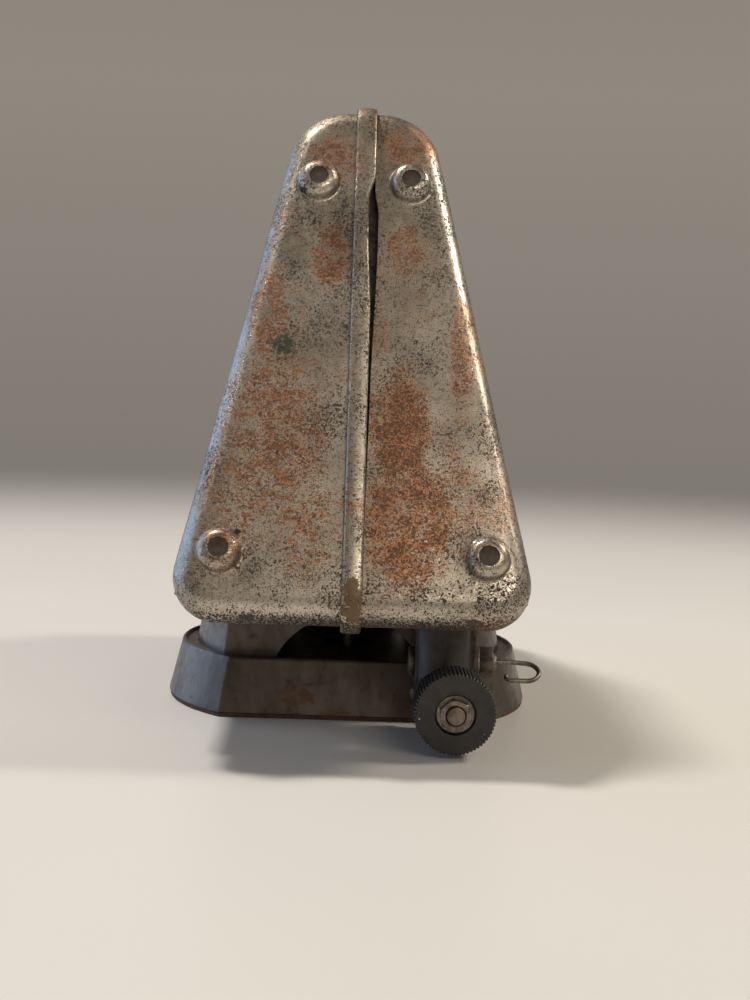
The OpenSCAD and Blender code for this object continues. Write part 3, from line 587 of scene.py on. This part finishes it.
def lateral_columns(y_end):
    """Places along Y from the front edge line to the rear one, with a column on each edge of the door."""
    margin = DOOR_MARGIN - DOOR_PLAY - EDGE_ROLL * math.cos(LEAN)
    margin += EDGE_ROLL * math.sin(LEAN) * END_SLOPE
    inner = y_end - margin
    front = [-y_end + margin * i / 6 for i in range(7)]
    middle = [-inner + 2 * inner * i / 36 for i in range(1, 36)]
    rear = [y_end - margin * (6 - i) / 6 for i in range(7)]
    return front + middle + rear, 6, 6 + 36


def shell_side(sign):
    """The rolled edges and the side of one half shell, with its door opening left out."""
    rolls = 8
    rows = []
    for x, s, nx, ns in OUTLINE:
        p = core_point(x, s)
        side = side_normal(nx, ns)
        row = []
        for k in range(rolls):
            n = END_NORMAL.slerp(side, k / rolls)
            row.append(ripple(p + n * EDGE_ROLL, n))
        columns, first, last = lateral_columns(-p.y)
        for y in columns:
            row.append(ripple(Vector((p.x, y, p.z)) + side * EDGE_ROLL, side))
        rear = mirrored(p)
        for k in range(rolls - 1, -1, -1):
            n = mirrored(END_NORMAL.slerp(side, k / rolls))
            row.append(ripple(rear + n * EDGE_ROLL, n))
        rows.append(row)
    verts = [v for row in rows for v in row]
    width = len(rows[0])
    heights = [r[rolls + first].z for r in rows]
    faces = []
    for i in range(len(rows) - 1):
        middle = (heights[i] + heights[i + 1]) / 2
        on_side = OUTLINE[i][2] > 0.05 and OUTLINE[i + 1][2] > 0.05 or middle < 60
        x_mid = (rows[i][rolls + 20].x + rows[i + 1][rolls + 20].x) / 2
        for j in range(width - 1):
            in_door = rolls + first <= j < rolls + last
            opening = in_door and on_side and OPENING_LOW < middle < DOOR_TOP + DOOR_PLAY
            y_mid = abs(rows[i][j].y + rows[i][j + 1].y) / 2
            vent = OUTLINE[i][3] < -0.9 and x_mid < FLANGE_EDGE and y_mid < FLANGE_END
            if not opening and not vent:
                a, b = i * width + j, (i + 1) * width + j
                faces.append((a, a + 1, b + 1, b))
    if sign < 0:
        verts = [Vector((-v.x, v.y, v.z)) for v in verts]
    return verts, faces


def boss_profile():
    """(radius, height) from the foot of a boss up to the rim of its hole and just into it."""
    land = 3.1
    points = [(6.5, 0.0), (6.05, 0.05), (5.88, 0.22)]
    for i in range(1, 10):
        a = math.radians(10 * i - 2)
        points.append((land + (BOSS_RADIUS + 0.05 - land) * math.cos(a), (BOSS_HEIGHT - 0.08) * math.sin(a)))
    points += [(2.9, BOSS_HEIGHT), (2.68, BOSS_HEIGHT - 0.08), (BOSS_HOLE, BOSS_HEIGHT - 0.5)]
    return points


def seam_edge(z, sign, front):
    """X of a half shell's edge at the seam. The right half has sprung away from the rib at the front."""
    if sign < 0 or not front:
        return 0.0
    spring = smooth(60, 100, z) * 0.5 + smooth(95, 140, z) * 1.0
    release = 1 - smooth(146, 154, z)
    return 2.95 + (spring - 0.3) * release + 0.15 * smooth(150, 160, z)


def end_face(sign, front):
    """One half of an end face, with its two bosses, as (verts, faces)."""
    border = []
    for x, s, _, _ in OUTLINE:
        p = core_point(x, s) + END_NORMAL * EDGE_ROLL
        border.append(Vector((x, face_s(p.z))))
    top_s, low_s = border[0].y, border[-1].y

    def on_seam(s):
        return Vector((seam_edge(BODY_BOTTOM + s * math.cos(LEAN), sign, front), s))

    steps = 60
    seam = [on_seam(low_s + (top_s - low_s) * i / steps) for i in range(1, steps)]
    loop = border
    if front and sign > 0:
        loop = [p for p in border if p.x > on_seam(p.y).x - 0.01]
        seam = [on_seam(low_s)] + seam + [on_seam(top_s)]
    loop = loop + seam
    segments = 40
    foot = boss_profile()[0][0]
    centres = [Vector((x, face_s(z))) for x, z in BOSSES]
    coords, edges = list(loop), ring_edges(0, len(loop))
    for c in centres:
        edges += ring_edges(len(coords), segments)
        coords += [c + foot * u for u in circle(segments)]
    pitch = 2.6
    for row in range(int((top_s - low_s) / pitch)):
        s = low_s + 1.5 + row * pitch
        for col in range(24):
            x = 0.6 + (col + 0.5 * (row % 2)) * pitch
            q = Vector((x, s))
            clear = all((q - c).length > foot + 1.2 for c in centres)
            if clear and inside_outline(q, loop, 1.2):
                coords.append(q)
    verts2, _, faces2, *_ = delaunay_2d_cdt(coords, edges, [], 1, 1e-6)
    verts = [on_end(v.x, v.y) for v in verts2]
    faces = []
    for f in faces2:
        c = sum((verts2[i] for i in f), Vector((0, 0))) / len(f)
        if all((c - b).length > foot * 0.99 for b in centres):
            faces.append(tuple(f))
    parts = [([ripple(v, END_NORMAL) for v in verts], faces)]
    for c in centres:
        rings = []
        for r, h in boss_profile():
            flat = [c + r * u for u in circle(segments)]
            rings.append([ripple(on_end(q.x, q.y), END_NORMAL) + END_NORMAL * h for q in flat])
        parts.append(bridge(rings))
    verts, faces = merge(parts)
    if sign < 0:
        verts = [Vector((-v.x, v.y, v.z)) for v in verts]
    if not front:
        verts = [mirrored(v) for v in verts]
    return verts, faces


def inside_outline(q, loop, clearance):
    inside = False
    n = len(loop)
    for i in range(n):
        a, b = loop[i], loop[(i + 1) % n]
        if (a.y > q.y) != (b.y > q.y) and q.x < (b.x - a.x) * (q.y - a.y) / (b.y - a.y) + a.x:
            inside = not inside
        edge = b - a
        t = max(0.0, min(1.0, (q - a).dot(edge) / max(edge.length_squared, 1e-9)))
        if (q - (a + edge * t)).length < clearance:
            return False
    return inside


def half_shell(name, sign):
    verts, faces = merge([shell_side(sign), end_face(sign, True), end_face(sign, False)])
    obj = mesh_object(name, verts, faces, 50)
    sheet = obj.modifiers.new("sheet", "SOLIDIFY")
    sheet.thickness = WALL * MM
    sheet.offset = -1
    sheet.use_even_offset = False
    apply_modifiers(obj)
    shade(obj, 50)
    return obj


def rib_path(steps=10):
    """(point, normal) along the middle of the body: up the front, over the top and down the rear."""
    low = core_point(0, OUTLINE[-1][1])
    top = core_point(0, OUTLINE[0][1])
    path = []
    for k in range(steps + 1):
        n = Vector((0, 0, -1)).slerp(END_NORMAL, k / steps)
        path.append((low + n * EDGE_ROLL, n))
    for i in range(1, 70):
        path.append((low.lerp(top, i / 70) + END_NORMAL * EDGE_ROLL, END_NORMAL))
    for k in range(steps + 1):
        n = END_NORMAL.slerp(Vector((0, 0, 1)), k / steps)
        path.append((top + n * EDGE_ROLL, n))
    for i in range(1, 16):
        y = top.y * (1 - i / 8)
        path.append((Vector((0, y, top.z + EDGE_ROLL)), Vector((0, 0, 1))))
    front = path[:70 + 2 * steps + 1]
    return path + [(mirrored(p), mirrored(n)) for p, n in reversed(front)]


def rib_edges(z, front):
    """X of the left and right edges of the rib at a height."""
    right = 2.55
    if front:
        right += 0.5 * smooth(152, 158, z) - 1.0 * smooth(118, 140, z) * (1 - smooth(150, 157, z))
    return -RIB_HALF, right


def rib():
    shape = ((0.0, -0.25), (0.0, 0.9), (0.025, 1.35), (0.075, 1.62), (0.16, 1.76), (0.5, 1.8),
             (0.84, 1.76), (0.925, 1.62), (0.975, 1.35), (1.0, 0.9), (1.0, -0.25))
    rings = []
    for p, n in rib_path():
        left, right = rib_edges(p.z, p.y < 0)
        ring = []
        for u, h in shape:
            height = h * (RIB_HEIGHT / 1.8) if h > 0 else h
            ring.append(ripple(p + Vector((left + (right - left) * u, 0, 0)) + n * height, n))
        ring.append(ripple(p + Vector((right - 0.3, 0, 0)) - n * 0.35, n))
        ring.append(ripple(p + Vector((left + 0.3, 0, 0)) - n * 0.35, n))
        rings.append(ring)
    verts, faces = bridge(rings)
    n = len(rings[0])
    faces += [tuple(range(n)), tuple(range(len(verts) - n, len(verts)))]
    return mesh_object("rib_strip", verts, faces, 45)


def build_shells():
    left = half_shell("shell_left_plate", -1)
    left_skin = join("shell_left_skin", [left, rib()], 50)
    place(left_skin, "root", "nickel", NICKEL_LEFT, "shell_left")
    right_skin = half_shell("shell_right_skin", 1)
    place(right_skin, "root", "nickel", NICKEL_RIGHT, "shell_right")


# ---- Base ----

def flatted(radius, flat, fillet=0.9, arc_steps=40, flat_steps=12):
    """Plan outline of a circle cut by a flat at the front and rear, its four corners rounded a little."""
    corner = math.acos(min(1.0, flat / radius))
    small = fillet / radius
    quarter = []
    half = radius * math.sin(corner) - fillet
    for i in range(flat_steps + 1):
        quarter.append(Vector((half * i / flat_steps, -flat)))
    start = -math.pi / 2 + corner + small
    arc_start = Vector((radius * math.cos(start), radius * math.sin(start)))
    bend = Vector((radius * math.sin(corner), -flat))
    a, b = quarter[-1], arc_start
    for i in range(1, 6):
        t = i / 6
        quarter.append(a * (1 - t) ** 2 + bend * 2 * t * (1 - t) + b * t * t)
    for i in range(arc_steps + 1):
        angle = start + (0 - start) * i / arc_steps
        quarter.append(Vector((radius * math.cos(angle), radius * math.sin(angle))))
    right = quarter + [Vector((p.x, -p.y)) for p in reversed(quarter[:-1])]
    return right[:-1] + [Vector((-p.x, p.y)) for p in reversed(right[1:])]


def base_rings(levels):
    """Rings of the flatted outline at each (z, radius, half depth)."""
    return [[Vector((p.x, p.y, z)) for p in flatted(radius, flat)] for z, radius, flat in levels]


def skirt():
    r, f = SKIRT_RADIUS, SKIRT_FLAT
    run = SKIRT_HEIGHT - PAD_SHEET

    def wall(z, inset):
        t = (z - PAD_SHEET) / run
        return z, r - SKIRT_FLARE * t - inset, f - SKIRT_FLARE * 0.75 * t - inset

    levels = [wall(PAD_SHEET, 1.1), wall(PAD_SHEET, 0.35), wall(PAD_SHEET + 0.25, 0.05)]
    levels += [wall(PAD_SHEET + 1 + i * (run - 2.2) / 8, 0.0) for i in range(9)]
    rim = SKIRT_HEIGHT
    levels += [wall(rim - 0.8, 0.0), wall(rim - 0.35, 0.08), wall(rim - 0.08, 0.3), wall(rim, 0.65)]
    levels += [wall(rim - 0.12, 1.0), wall(rim - 0.45, 1.2)]
    levels += [wall(DECK_TOP + 0.25, 1.35), wall(DECK_TOP, 1.8)]
    levels += [(DECK_TOP, PLINTH_RADIUS + 1, PLINTH_FLAT + 1), (DECK_TOP, 8.2, 8), (DECK_TOP - 1.2, 8.2, 8)]
    inner = [wall(DECK_TOP - 1.2, 1.3), wall(PAD_SHEET + 0.3, 1.1), wall(PAD_SHEET, 1.1)]
    verts, faces = bridge(base_rings(levels + inner))
    obj = mesh_object("base_skirt_pressing", verts, faces, 32)
    return place(obj, "root", "base_steel", BASE_METAL, "base_skirt")


def cut(obj, bm, matrix):
    """Cuts a form, placed by a matrix in metres, out of a piece."""
    bmesh.ops.transform(bm, matrix=matrix, verts=bm.verts)
    mesh = bpy.data.meshes.new("cutter")
    bm.to_mesh(mesh)
    bm.free()
    cutter = bpy.data.objects.new("cutter", mesh)
    bpy.context.scene.collection.objects.link(cutter)
    boolean = obj.modifiers.new("cut", "BOOLEAN")
    boolean.object = cutter
    boolean.operation = "DIFFERENCE"
    boolean.solver = "EXACT"
    apply_modifiers(obj)
    bpy.data.objects.remove(cutter)


def plinth():
    r, f, top = PLINTH_RADIUS, PLINTH_FLAT, BODY_BOTTOM

    def wall(z, inset):
        t = (z - DECK_TOP) / (top - DECK_TOP)
        return z, r - PLINTH_FLARE * t - inset, f - PLINTH_FLARE * 0.75 * t - inset

    levels = [wall(DECK_TOP, 1.2), wall(DECK_TOP, 0.0), wall(DECK_TOP + 0.1, 0.0)]
    levels += [wall(DECK_TOP + 1 + i * (top - DECK_TOP - 3) / 6, 0.0) for i in range(7)]
    levels += [wall(top - 0.9, 0.05), wall(top - 0.35, 0.35), wall(top, 1.0)]
    levels += [(top, 18, 16), (top, 4.4, 4.2), (top - 1.2, 4.4, 4.2), wall(top - 1.2, 1.6)]
    levels += [wall(top - 1.8, 1.2), wall(DECK_TOP + 0.2, 1.2), wall(DECK_TOP, 1.2)]
    verts, faces = bridge(base_rings(levels))
    obj = mesh_object("base_plinth_pressing", verts, faces, 32)
    arch, inlet = bmesh.new(), bmesh.new()
    radius = ARCH_RADIUS * MM
    bmesh.ops.create_cone(arch, cap_ends=True, segments=96, radius1=radius, radius2=radius, depth=20 * MM)
    upright = Matrix.Rotation(math.pi / 2, 4, "X")
    cut(obj, arch, Matrix.Translation((0, -PLINTH_FLAT * MM, ARCH_Z * MM)) @ upright)
    bmesh.ops.create_cube(inlet, size=1)
    size = Matrix.Diagonal((INLET_WIDTH * MM, 12 * MM, INLET_HEIGHT * MM, 1))
    cut(obj, inlet, Matrix.Translation((0, PLINTH_FLAT * MM, INLET_Z * MM)) @ size)
    shade(obj, 32)
    return place(obj, "root", "base_steel", BASE_METAL, "base_plinth")


# ---- Knobs ----

def knurl():
    """Rounded knurl ridges that fade out at both edges of the knob's rim."""
    fade = {3: 0.0, 4: 0.6, 5: 1.0, 6: 1.0, 7: 1.0, 8: 1.0, 9: 1.0, 10: 0.6, 11: 0.0}

    def change(angle, k):
        wave = abs(math.sin(angle * KNURL_TEETH / 2)) ** 0.7
        return -KNURL_DEPTH * fade.get(k, 0.0) * (1 - wave)

    return change


def knob(side):
    r, front, back = KNOB_RADIUS, KNOB_FRONT, KNOB_BACK
    bore = SPINDLE_RADIUS + 0.05
    profile = [(bore, front + 1.6), (5.35, front + 1.6), (5.6, front + 0.25), (r - 1.0, front),
               (r - 0.35, front + 0.22), (r, front + 0.7), (r, front + 1.2), (r, front + 4), (r, back - 4),
               (r, back - 1.2), (r, back - 0.7), (r - 0.5, back - 0.15), (r - 1.3, back),
               (HUB_RADIUS + 0.8, back), (HUB_RADIUS, back + 0.6), (HUB_RADIUS, HUB_END - 0.4),
               (HUB_RADIUS - 0.4, HUB_END), (bore, HUB_END), (bore, front + 1.6)]
    obj = lathe("knob_face_right", profile, (SPINDLE_X, SPINDLE_Z), KNURL_TEETH * 8, knurl(), 30)
    if side == "left":
        copy = turned_copy(obj, "knob_face_left")
        bpy.data.objects.remove(obj)
        obj = copy
        shade(obj, 30)
    return place(obj, "knob_" + side, "black_phenolic", BLACK, "knob_" + side)


def hex_radius(angle, flats):
    sector = (angle + math.pi / 6) % (math.pi / 3) - math.pi / 6
    return flats / 2 / math.cos(sector)


def nut(name, centre, y_back, height, flats, bore, turn=0.0):
    """A hexagon nut on an axis along Y, its front corners chamfered; the front faces -Y."""
    steps = 96
    rings = []
    corner = flats / 2 / math.cos(math.pi / 6)
    # (round radius or None, height, greatest radius of the hexagon)
    levels = [(bore, 0.0, 0), (flats / 2 - 0.2, 0.0, 0), (None, 0.0, corner - 0.35), (None, 0.35, corner),
              (None, height - 0.55, corner), (None, height - 0.25, corner - 0.28),
              (None, height, flats / 2 + 0.12), (bore + 0.5, height, 0), (bore, height - 0.35, 0),
              (bore, 0.0, 0)]
    for radius, up, cap in levels:
        ring = []
        for i in range(steps):
            a = 2 * math.pi * i / steps
            q = radius or min(hex_radius(a, flats), cap)
            b = a + turn
            ring.append(Vector((centre[0] + q * math.cos(b), y_back - up, centre[1] + q * math.sin(b))))
        rings.append(ring)
    verts, faces = bridge(rings)
    return mesh_object(name, verts, faces, 30)


def knob_nut(side):
    obj = nut("knob_nut_hex_right", (SPINDLE_X, SPINDLE_Z), KNOB_FRONT + 1.1, NUT_HEIGHT, NUT_FLATS,
              SPINDLE_RADIUS, math.radians(10))
    if side == "left":
        copy = turned_copy(obj, "knob_nut_hex_left")
        bpy.data.objects.remove(obj)
        obj = copy
        shade(obj, 30)
    return place(obj, "knob_" + side, "hardware", NUT_STEEL, "knob_nut_" + side)


# ---- Wire loops ----

def tube(name, points, radius, sides=14):
    """A round wire along a list of points, with rounded ends."""
    rings = []
    up = Vector((0, 0, 1))
    count = len(points)
    for i, p in enumerate(points):
        ahead = (points[min(i + 1, count - 1)] - points[max(i - 1, 0)]).normalized()
        side = ahead.cross(up if abs(ahead.z) < 0.9 else Vector((0, 1, 0))).normalized()
        top = side.cross(ahead).normalized()
        rings.append([p + (side * math.cos(a) + top * math.sin(a)) * radius
                      for a in (2 * math.pi * k / sides for k in range(sides))])
    back = (points[0] - points[1]).normalized() * radius * 0.5
    ahead = (points[-1] - points[-2]).normalized() * radius * 0.5
    first = [points[0].lerp(v, 0.6) + back for v in rings[0]]
    last = [points[-1].lerp(v, 0.6) + ahead for v in rings[-1]]
    rings = [first] + rings + [last]
    verts, faces = bridge(rings)
    n = len(verts)
    faces += [tuple(range(sides)), tuple(range(n - sides, n))]
    return mesh_object(name, verts, faces, 60)


def wire_loop():
    """A hairpin out of the end of the cross stud; its free end curls up a little."""
    fall = Vector((0, -math.cos(LOOP_TILT), -math.sin(LOOP_TILT)))
    lift = Vector((0, -math.sin(LOOP_TILT), math.cos(LOOP_TILT)))
    origin = Vector((0, STUD_Y, STUD_Z))
    points = [origin + Vector((x, 0, 0)) + lift * 0.25 * math.sin((x - LOOP_START_X) / 3.4)
              for x in (LOOP_START_X + i * (LOOP_BEND_X - LOOP_START_X) / 10 for i in range(11))]
    shift = points[-1] - origin - Vector((LOOP_BEND_X, 0, 0))
    for degrees in range(9, 181, 9):
        a = math.radians(degrees)
        bend = Vector((LOOP_BEND_X + LOOP_BEND * math.sin(a), 0, 0)) + fall * LOOP_BEND * (1 - math.cos(a))
        points.append(origin + bend + shift * (1 - degrees / 180))
    tail = points[-1]
    points += [tail + Vector((-d, 0, 0)) for d in (1.2, 2.4, 3.6, 4.4)]
    for run, back, rise in ((5.1, 0.2, 0.1), (5.6, 0.75, 0.3), (5.5, 1.35, 0.5)):
        points.append(tail + Vector((-run, 0, 0)) - fall * back + lift * rise)
    return tube("wire_loop_right", points, LOOP_WIRE)


def build_loops():
    right = wire_loop()
    left = turned_copy(right, "wire_loop_left")
    both = join("wire_loops_bent", [right, left], 60)
    place(both, "root", "hardware", STEEL, "wire_loops")


# ---- Doors ----

def side_frame(z):
    """A function from door coordinates (up the slope, along Y, out of it) to a point of the model."""
    up = Vector((-math.sin(SIDE_ANGLE), 0, math.cos(SIDE_ANGLE)))
    out = Vector((math.cos(SIDE_ANGLE), 0, math.sin(SIDE_ANGLE)))
    origin = Vector((half_width(z), 0, z))
    return lambda t, y, d: origin + up * t + Vector((0, y, 0)) + out * d


def slot_outline(y, low, high, half, steps=8):
    points = []
    for i in range(steps + 1):
        a = math.pi * i / steps
        points.append(Vector((high - half + half * math.sin(a), y - half * math.cos(a))))
    for i in range(steps + 1):
        a = math.pi * i / steps
        points.append(Vector((low + half - half * math.sin(a), y + half * math.cos(a))))
    return points


def door_panel():
    """Pressed door sheet with a border bead, seven slots with turned-up lips, and rounded corners."""
    put = side_frame(DOOR_LOW)
    run = (DOOR_TOP - DOOR_LOW) / math.cos(SIDE_ANGLE)
    low_half = half_length(DOOR_LOW) - DOOR_MARGIN
    top_half = half_length(DOOR_TOP) - DOOR_MARGIN
    taper = (low_half - top_half) / run
    corners = [Vector(p) for p in ((0, -low_half), (run, -top_half), (run, top_half), (0, low_half))]
    loop = []
    for i, c in enumerate(corners):
        before, after = corners[i - 1], corners[(i + 1) % 4]
        radius = 4.0 if c.x > 1 else 2.0
        a, b = c + (before - c).normalized() * radius, c + (after - c).normalized() * radius
        loop += [a * (1 - t) ** 2 + c * 2 * t * (1 - t) + b * t * t for t in (0, 0.25, 0.5, 0.75, 1)]
        length = (after - c).length - 2 * radius
        count = int(length / 4)
        loop += [b + (after - c).normalized() * length * k / count for k in range(1, count)]
    slot_low = (SLOT_FOOT_Z - DOOR_LOW) / math.cos(SIDE_ANGLE) + 4
    slot_high = slot_low + SLOT_LENGTH

    def from_slot(q, k):
        """The step to a point of the sheet from the middle line of a slot."""
        t = min(max(q.x, slot_low + SLOT_HALF), slot_high - SLOT_HALF)
        return q - Vector((t, SLOT_PITCH * k))

    coords, edges = list(loop), ring_edges(0, len(loop))
    for k in SLOTS:
        outline = slot_outline(SLOT_PITCH * k, slot_low, slot_high, SLOT_HALF)
        for grow in (0.0, 1.3):
            edges += ring_edges(len(coords), len(outline))
            coords += [p + from_slot(p, k).normalized() * grow for p in outline]
    pitch = 1.9
    for i in range(int(run / pitch)):
        t = 1.0 + i * pitch
        for j in range(-45, 46):
            q = Vector((t, (j + 0.5 * (i % 2)) * pitch))
            level = slot_low - 2.5 < q.x < slot_high + 2.5
            near = level and any(abs(q.y - SLOT_PITCH * k) < 3.6 for k in SLOTS)
            if not near and inside_outline(q, loop, 0.9):
                coords.append(q)
    verts2, _, faces2, *_ = delaunay_2d_cdt(coords, edges, [], 1, 1e-6)

    def height(q):
        border = min(q.x, run - q.x, (low_half - taper * q.x - abs(q.y)) / math.sqrt(1 + taper * taper))
        bead = 0.75 * math.exp(-((border - 7.5) / 1.5) ** 2)
        field = 0.45 * smooth(9.0, 13.0, border)
        lip = 0.0
        for k in SLOTS:
            gap = from_slot(q, k).length - SLOT_HALF
            lip = max(lip, 0.55 * (1 - smooth(-0.05, 1.25, gap)))
        return bead + field * 0.6 + lip * 0.5 - 1.1

    verts = [put(v.x, v.y, height(v)) for v in verts2]
    out = Vector((math.cos(SIDE_ANGLE), 0, math.sin(SIDE_ANGLE)))
    verts = [ripple(v, out) for v in verts]
    faces = []
    for f in faces2:
        c = sum((verts2[i] for i in f), Vector((0, 0))) / len(f)
        if all(from_slot(c, k).length >= SLOT_HALF - 0.01 for k in SLOTS):
            faces.append(tuple(f))
    panel = mesh_object("door_sheet_right", verts, faces, 50)
    if panel.data.polygons[0].normal.dot(out) < 0:
        panel.data.flip_normals()
    sheet = panel.modifiers.new("sheet", "SOLIDIFY")
    sheet.thickness = 0.8 * MM
    sheet.offset = -1
    apply_modifiers(panel)
    shade(panel, 50)
    knuckles = []
    for y1, y2 in ((-78, -62), (62, 78)):
        middle = (y1 + y2) / 2
        profile = [(1.56, y1 + 0.3), (1.9, y1), (2.45, y1), (2.65, y1 + 0.3), (2.65, middle - 0.3),
                   (2.45, middle), (2.65, middle + 0.3), (2.65, y2 - 0.3), (2.45, y2), (1.9, y2),
                   (1.56, y2 - 0.3), (1.56, y1 + 0.3)]
        knuckles.append(lathe(f"knuckle_{y1}", profile, (HINGE_X, HINGE_Z), 40))
    return join("door_panel_skin_right", [panel] + knuckles, 50)


def build_doors():
    right = door_panel()
    left = turned_copy(right, "door_panel_skin_left")
    shade(left, 50)
    place(right, "door_right", "nickel", NICKEL_DOOR, "door_panel_right")
    place(left, "door_left", "nickel", NICKEL_DOOR, "door_panel_left")


# ---- Everything else: CAD shapes with rounded edges or their own finish ----

def build_fittings():
    finished = (
        ("bearing_blocks", 0.7, 3, BLOCK), ("stud_brackets", 0.3, 2, DARK_STEEL),
        ("cross_studs", 0.35, 2, STEEL), ("cross_washers", 0.15, 2, STEEL),
        ("cross_nuts", 0.35, 2, DARK_STEEL), ("inlet_shroud", 0.25, 2, NICKEL_DOOR),
        ("inlet_insulator", 0.3, 2, PORCELAIN), ("card_rail_upper", 0.4, 2, PORCELAIN),
        ("card_rails_lower", 0.4, 2, PORCELAIN), ("hinge_brackets", 0.2, 2, STEEL),
        ("base_pad", 0.2, 2, FIBRE), ("plinth_screws", 0.2, 2, STEEL), ("centre_nuts", 0.3, 2, STEEL),
    )
    paired = (("toast_tray", 0.3, NICKEL_DOOR), ("door_ear", 0.2, STEEL), ("link", 0.2, STEEL),
              ("spindle", 0.25, NUT_STEEL))
    finished += tuple((f"{name}_{end}", width, 2, material)
                      for name, width, material in paired for end in ("right", "left"))
    slots = {s["node"]: s["material_slot"] for s in frame["record"]["subparts"]}
    bodies = {n: b for b, names in frame["record"]["behaviour"]["bodies"].items() for n in names}
    for node, width, segments, material in finished:
        place(softened(node, width, segments), bodies[node], slots[node], material, node)
    kept = (
        (STEEL, ("floor_plate", "guard_rods", "guard_wires_right", "guard_wires_left", "centre_stud",
                 "centre_spacer", "hinge_rods", "knob_washer_right", "knob_washer_left")),
        (DARK_STEEL, ("end_frame_front", "end_frame_rear")),
        (MICA, ("mica_card_right", "mica_card_left")),
        (RIBBON, ("heater_ribbon_right", "heater_ribbon_left")),
        (BRASS, ("bus_bars", "terminal_pins")),
        (RIVET, ("shell_rivets",)),
        (BASE_METAL, ("bottom_plate",)),
    )
    for material, nodes in kept:
        for node in nodes:
            obj = frame["nodes"][node]
            if not obj.material_slots:
                obj.data.materials.append(material)
            for slot in obj.material_slots:
                slot.material = material


# ---- Stage ----

def area_light(name, place_at, aim, size, power, color):
    data = bpy.data.lights.new(name, "AREA")
    data.shape = "RECTANGLE"
    data.size, data.size_y = size
    data.energy = power
    data.color = color
    obj = bpy.data.objects.new(name, data)
    obj.location = place_at
    obj.rotation_euler = (Vector(aim) - Vector(place_at)).to_track_quat("-Z", "Y").to_euler()
    bpy.context.scene.collection.objects.link(obj)


def build_stage():
    floor_mesh = bpy.data.meshes.new("floor")
    floor_mesh.from_pydata([(-3, -3, 0), (3, -3, 0), (3, 3, 0), (-3, 3, 0)], [], [(0, 1, 2, 3)])
    floor = bpy.data.objects.new("floor", floor_mesh)
    bpy.context.scene.collection.objects.link(floor)
    g = Graph("pale_counter")
    tone = g.mix(g.noise(0.004, 2), (0.72, 0.70, 0.665), (0.66, 0.635, 0.60))
    floor.data.materials.append(g.finish(tone, 0.0, 0.32))
    g.put(g.blob((0, -300, 0), (1050, 1050, 1050), 0.32), g.shader.inputs["Alpha"])

    world = bpy.data.worlds.new("studio")
    bpy.context.scene.world = world
    world.use_nodes = True
    tree = world.node_tree
    background = tree.nodes["Background"]
    coords = tree.nodes.new("ShaderNodeTexCoord")
    split = tree.nodes.new("ShaderNodeSeparateXYZ")
    ramp = tree.nodes.new("ShaderNodeValToRGB")
    shift = tree.nodes.new("ShaderNodeMapRange")
    shift.inputs["From Min"].default_value = -1
    tree.links.new(coords.outputs["Generated"], split.inputs[0])
    tree.links.new(split.outputs["Z"], shift.inputs["Value"])
    tree.links.new(shift.outputs[0], ramp.inputs["Fac"])
    tree.links.new(ramp.outputs["Color"], background.inputs["Color"])
    stops = ramp.color_ramp.elements
    stops[0].position, stops[0].color = 0.45, (0.50, 0.46, 0.41, 1)
    stops[1].position, stops[1].color = 1.0, (0.13, 0.11, 0.09, 1)
    between = ((0.58, (0.70, 0.62, 0.53, 1)), (0.72, (0.56, 0.49, 0.41, 1)), (0.86, (0.40, 0.35, 0.285, 1)))
    for position, color in between:
        stops.new(position).color = color
    background.inputs["Strength"].default_value = 0.40

    area_light("ceiling_left", (-0.34, 0.14, 1.0), (0, 0, 0.05), (0.14, 0.14), 9.0, (1.0, 0.95, 0.88))
    area_light("ceiling_right", (0.95, 0.14, 0.9), (0, 0, 0.05), (0.26, 0.26), 8.0, (1.0, 0.92, 0.80))
    area_light("window", (-1.6, 0.45, 0.62), (0, 0, 0.09), (2.6, 1.3), 14.0, (0.36, 0.59, 1.0))
    area_light("room", (0.5, -1.1, 0.75), (0, -0.03, 0.10), (0.8, 0.4), 4.0, (1.0, 0.91, 0.77))


def build_camera():
    data = bpy.data.cameras.new("view")
    data.sensor_fit = "VERTICAL"
    data.sensor_height = 36
    data.lens = 59.5
    camera = bpy.data.objects.new("view", data)
    bpy.context.scene.collection.objects.link(camera)
    camera.location = (-0.0033, -0.52, 0.1047)
    pitch, roll, yaw = math.radians(90 - 4.70), math.radians(2.0), math.radians(-1.13)
    turn = Matrix.Rotation(yaw, 4, "Z") @ Matrix.Rotation(pitch, 4, "X") @ Matrix.Rotation(roll, 4, "Z")
    camera.rotation_euler = turn.to_euler()
    bpy.context.scene.camera = camera
    bpy.context.scene.view_settings.view_transform = "Standard"


build_stage()
build_camera()
build_shells()
skirt()
plinth()
for end in ("right", "left"):
    knob(end)
    knob_nut(end)
build_loops()
build_doors()
build_fittings()
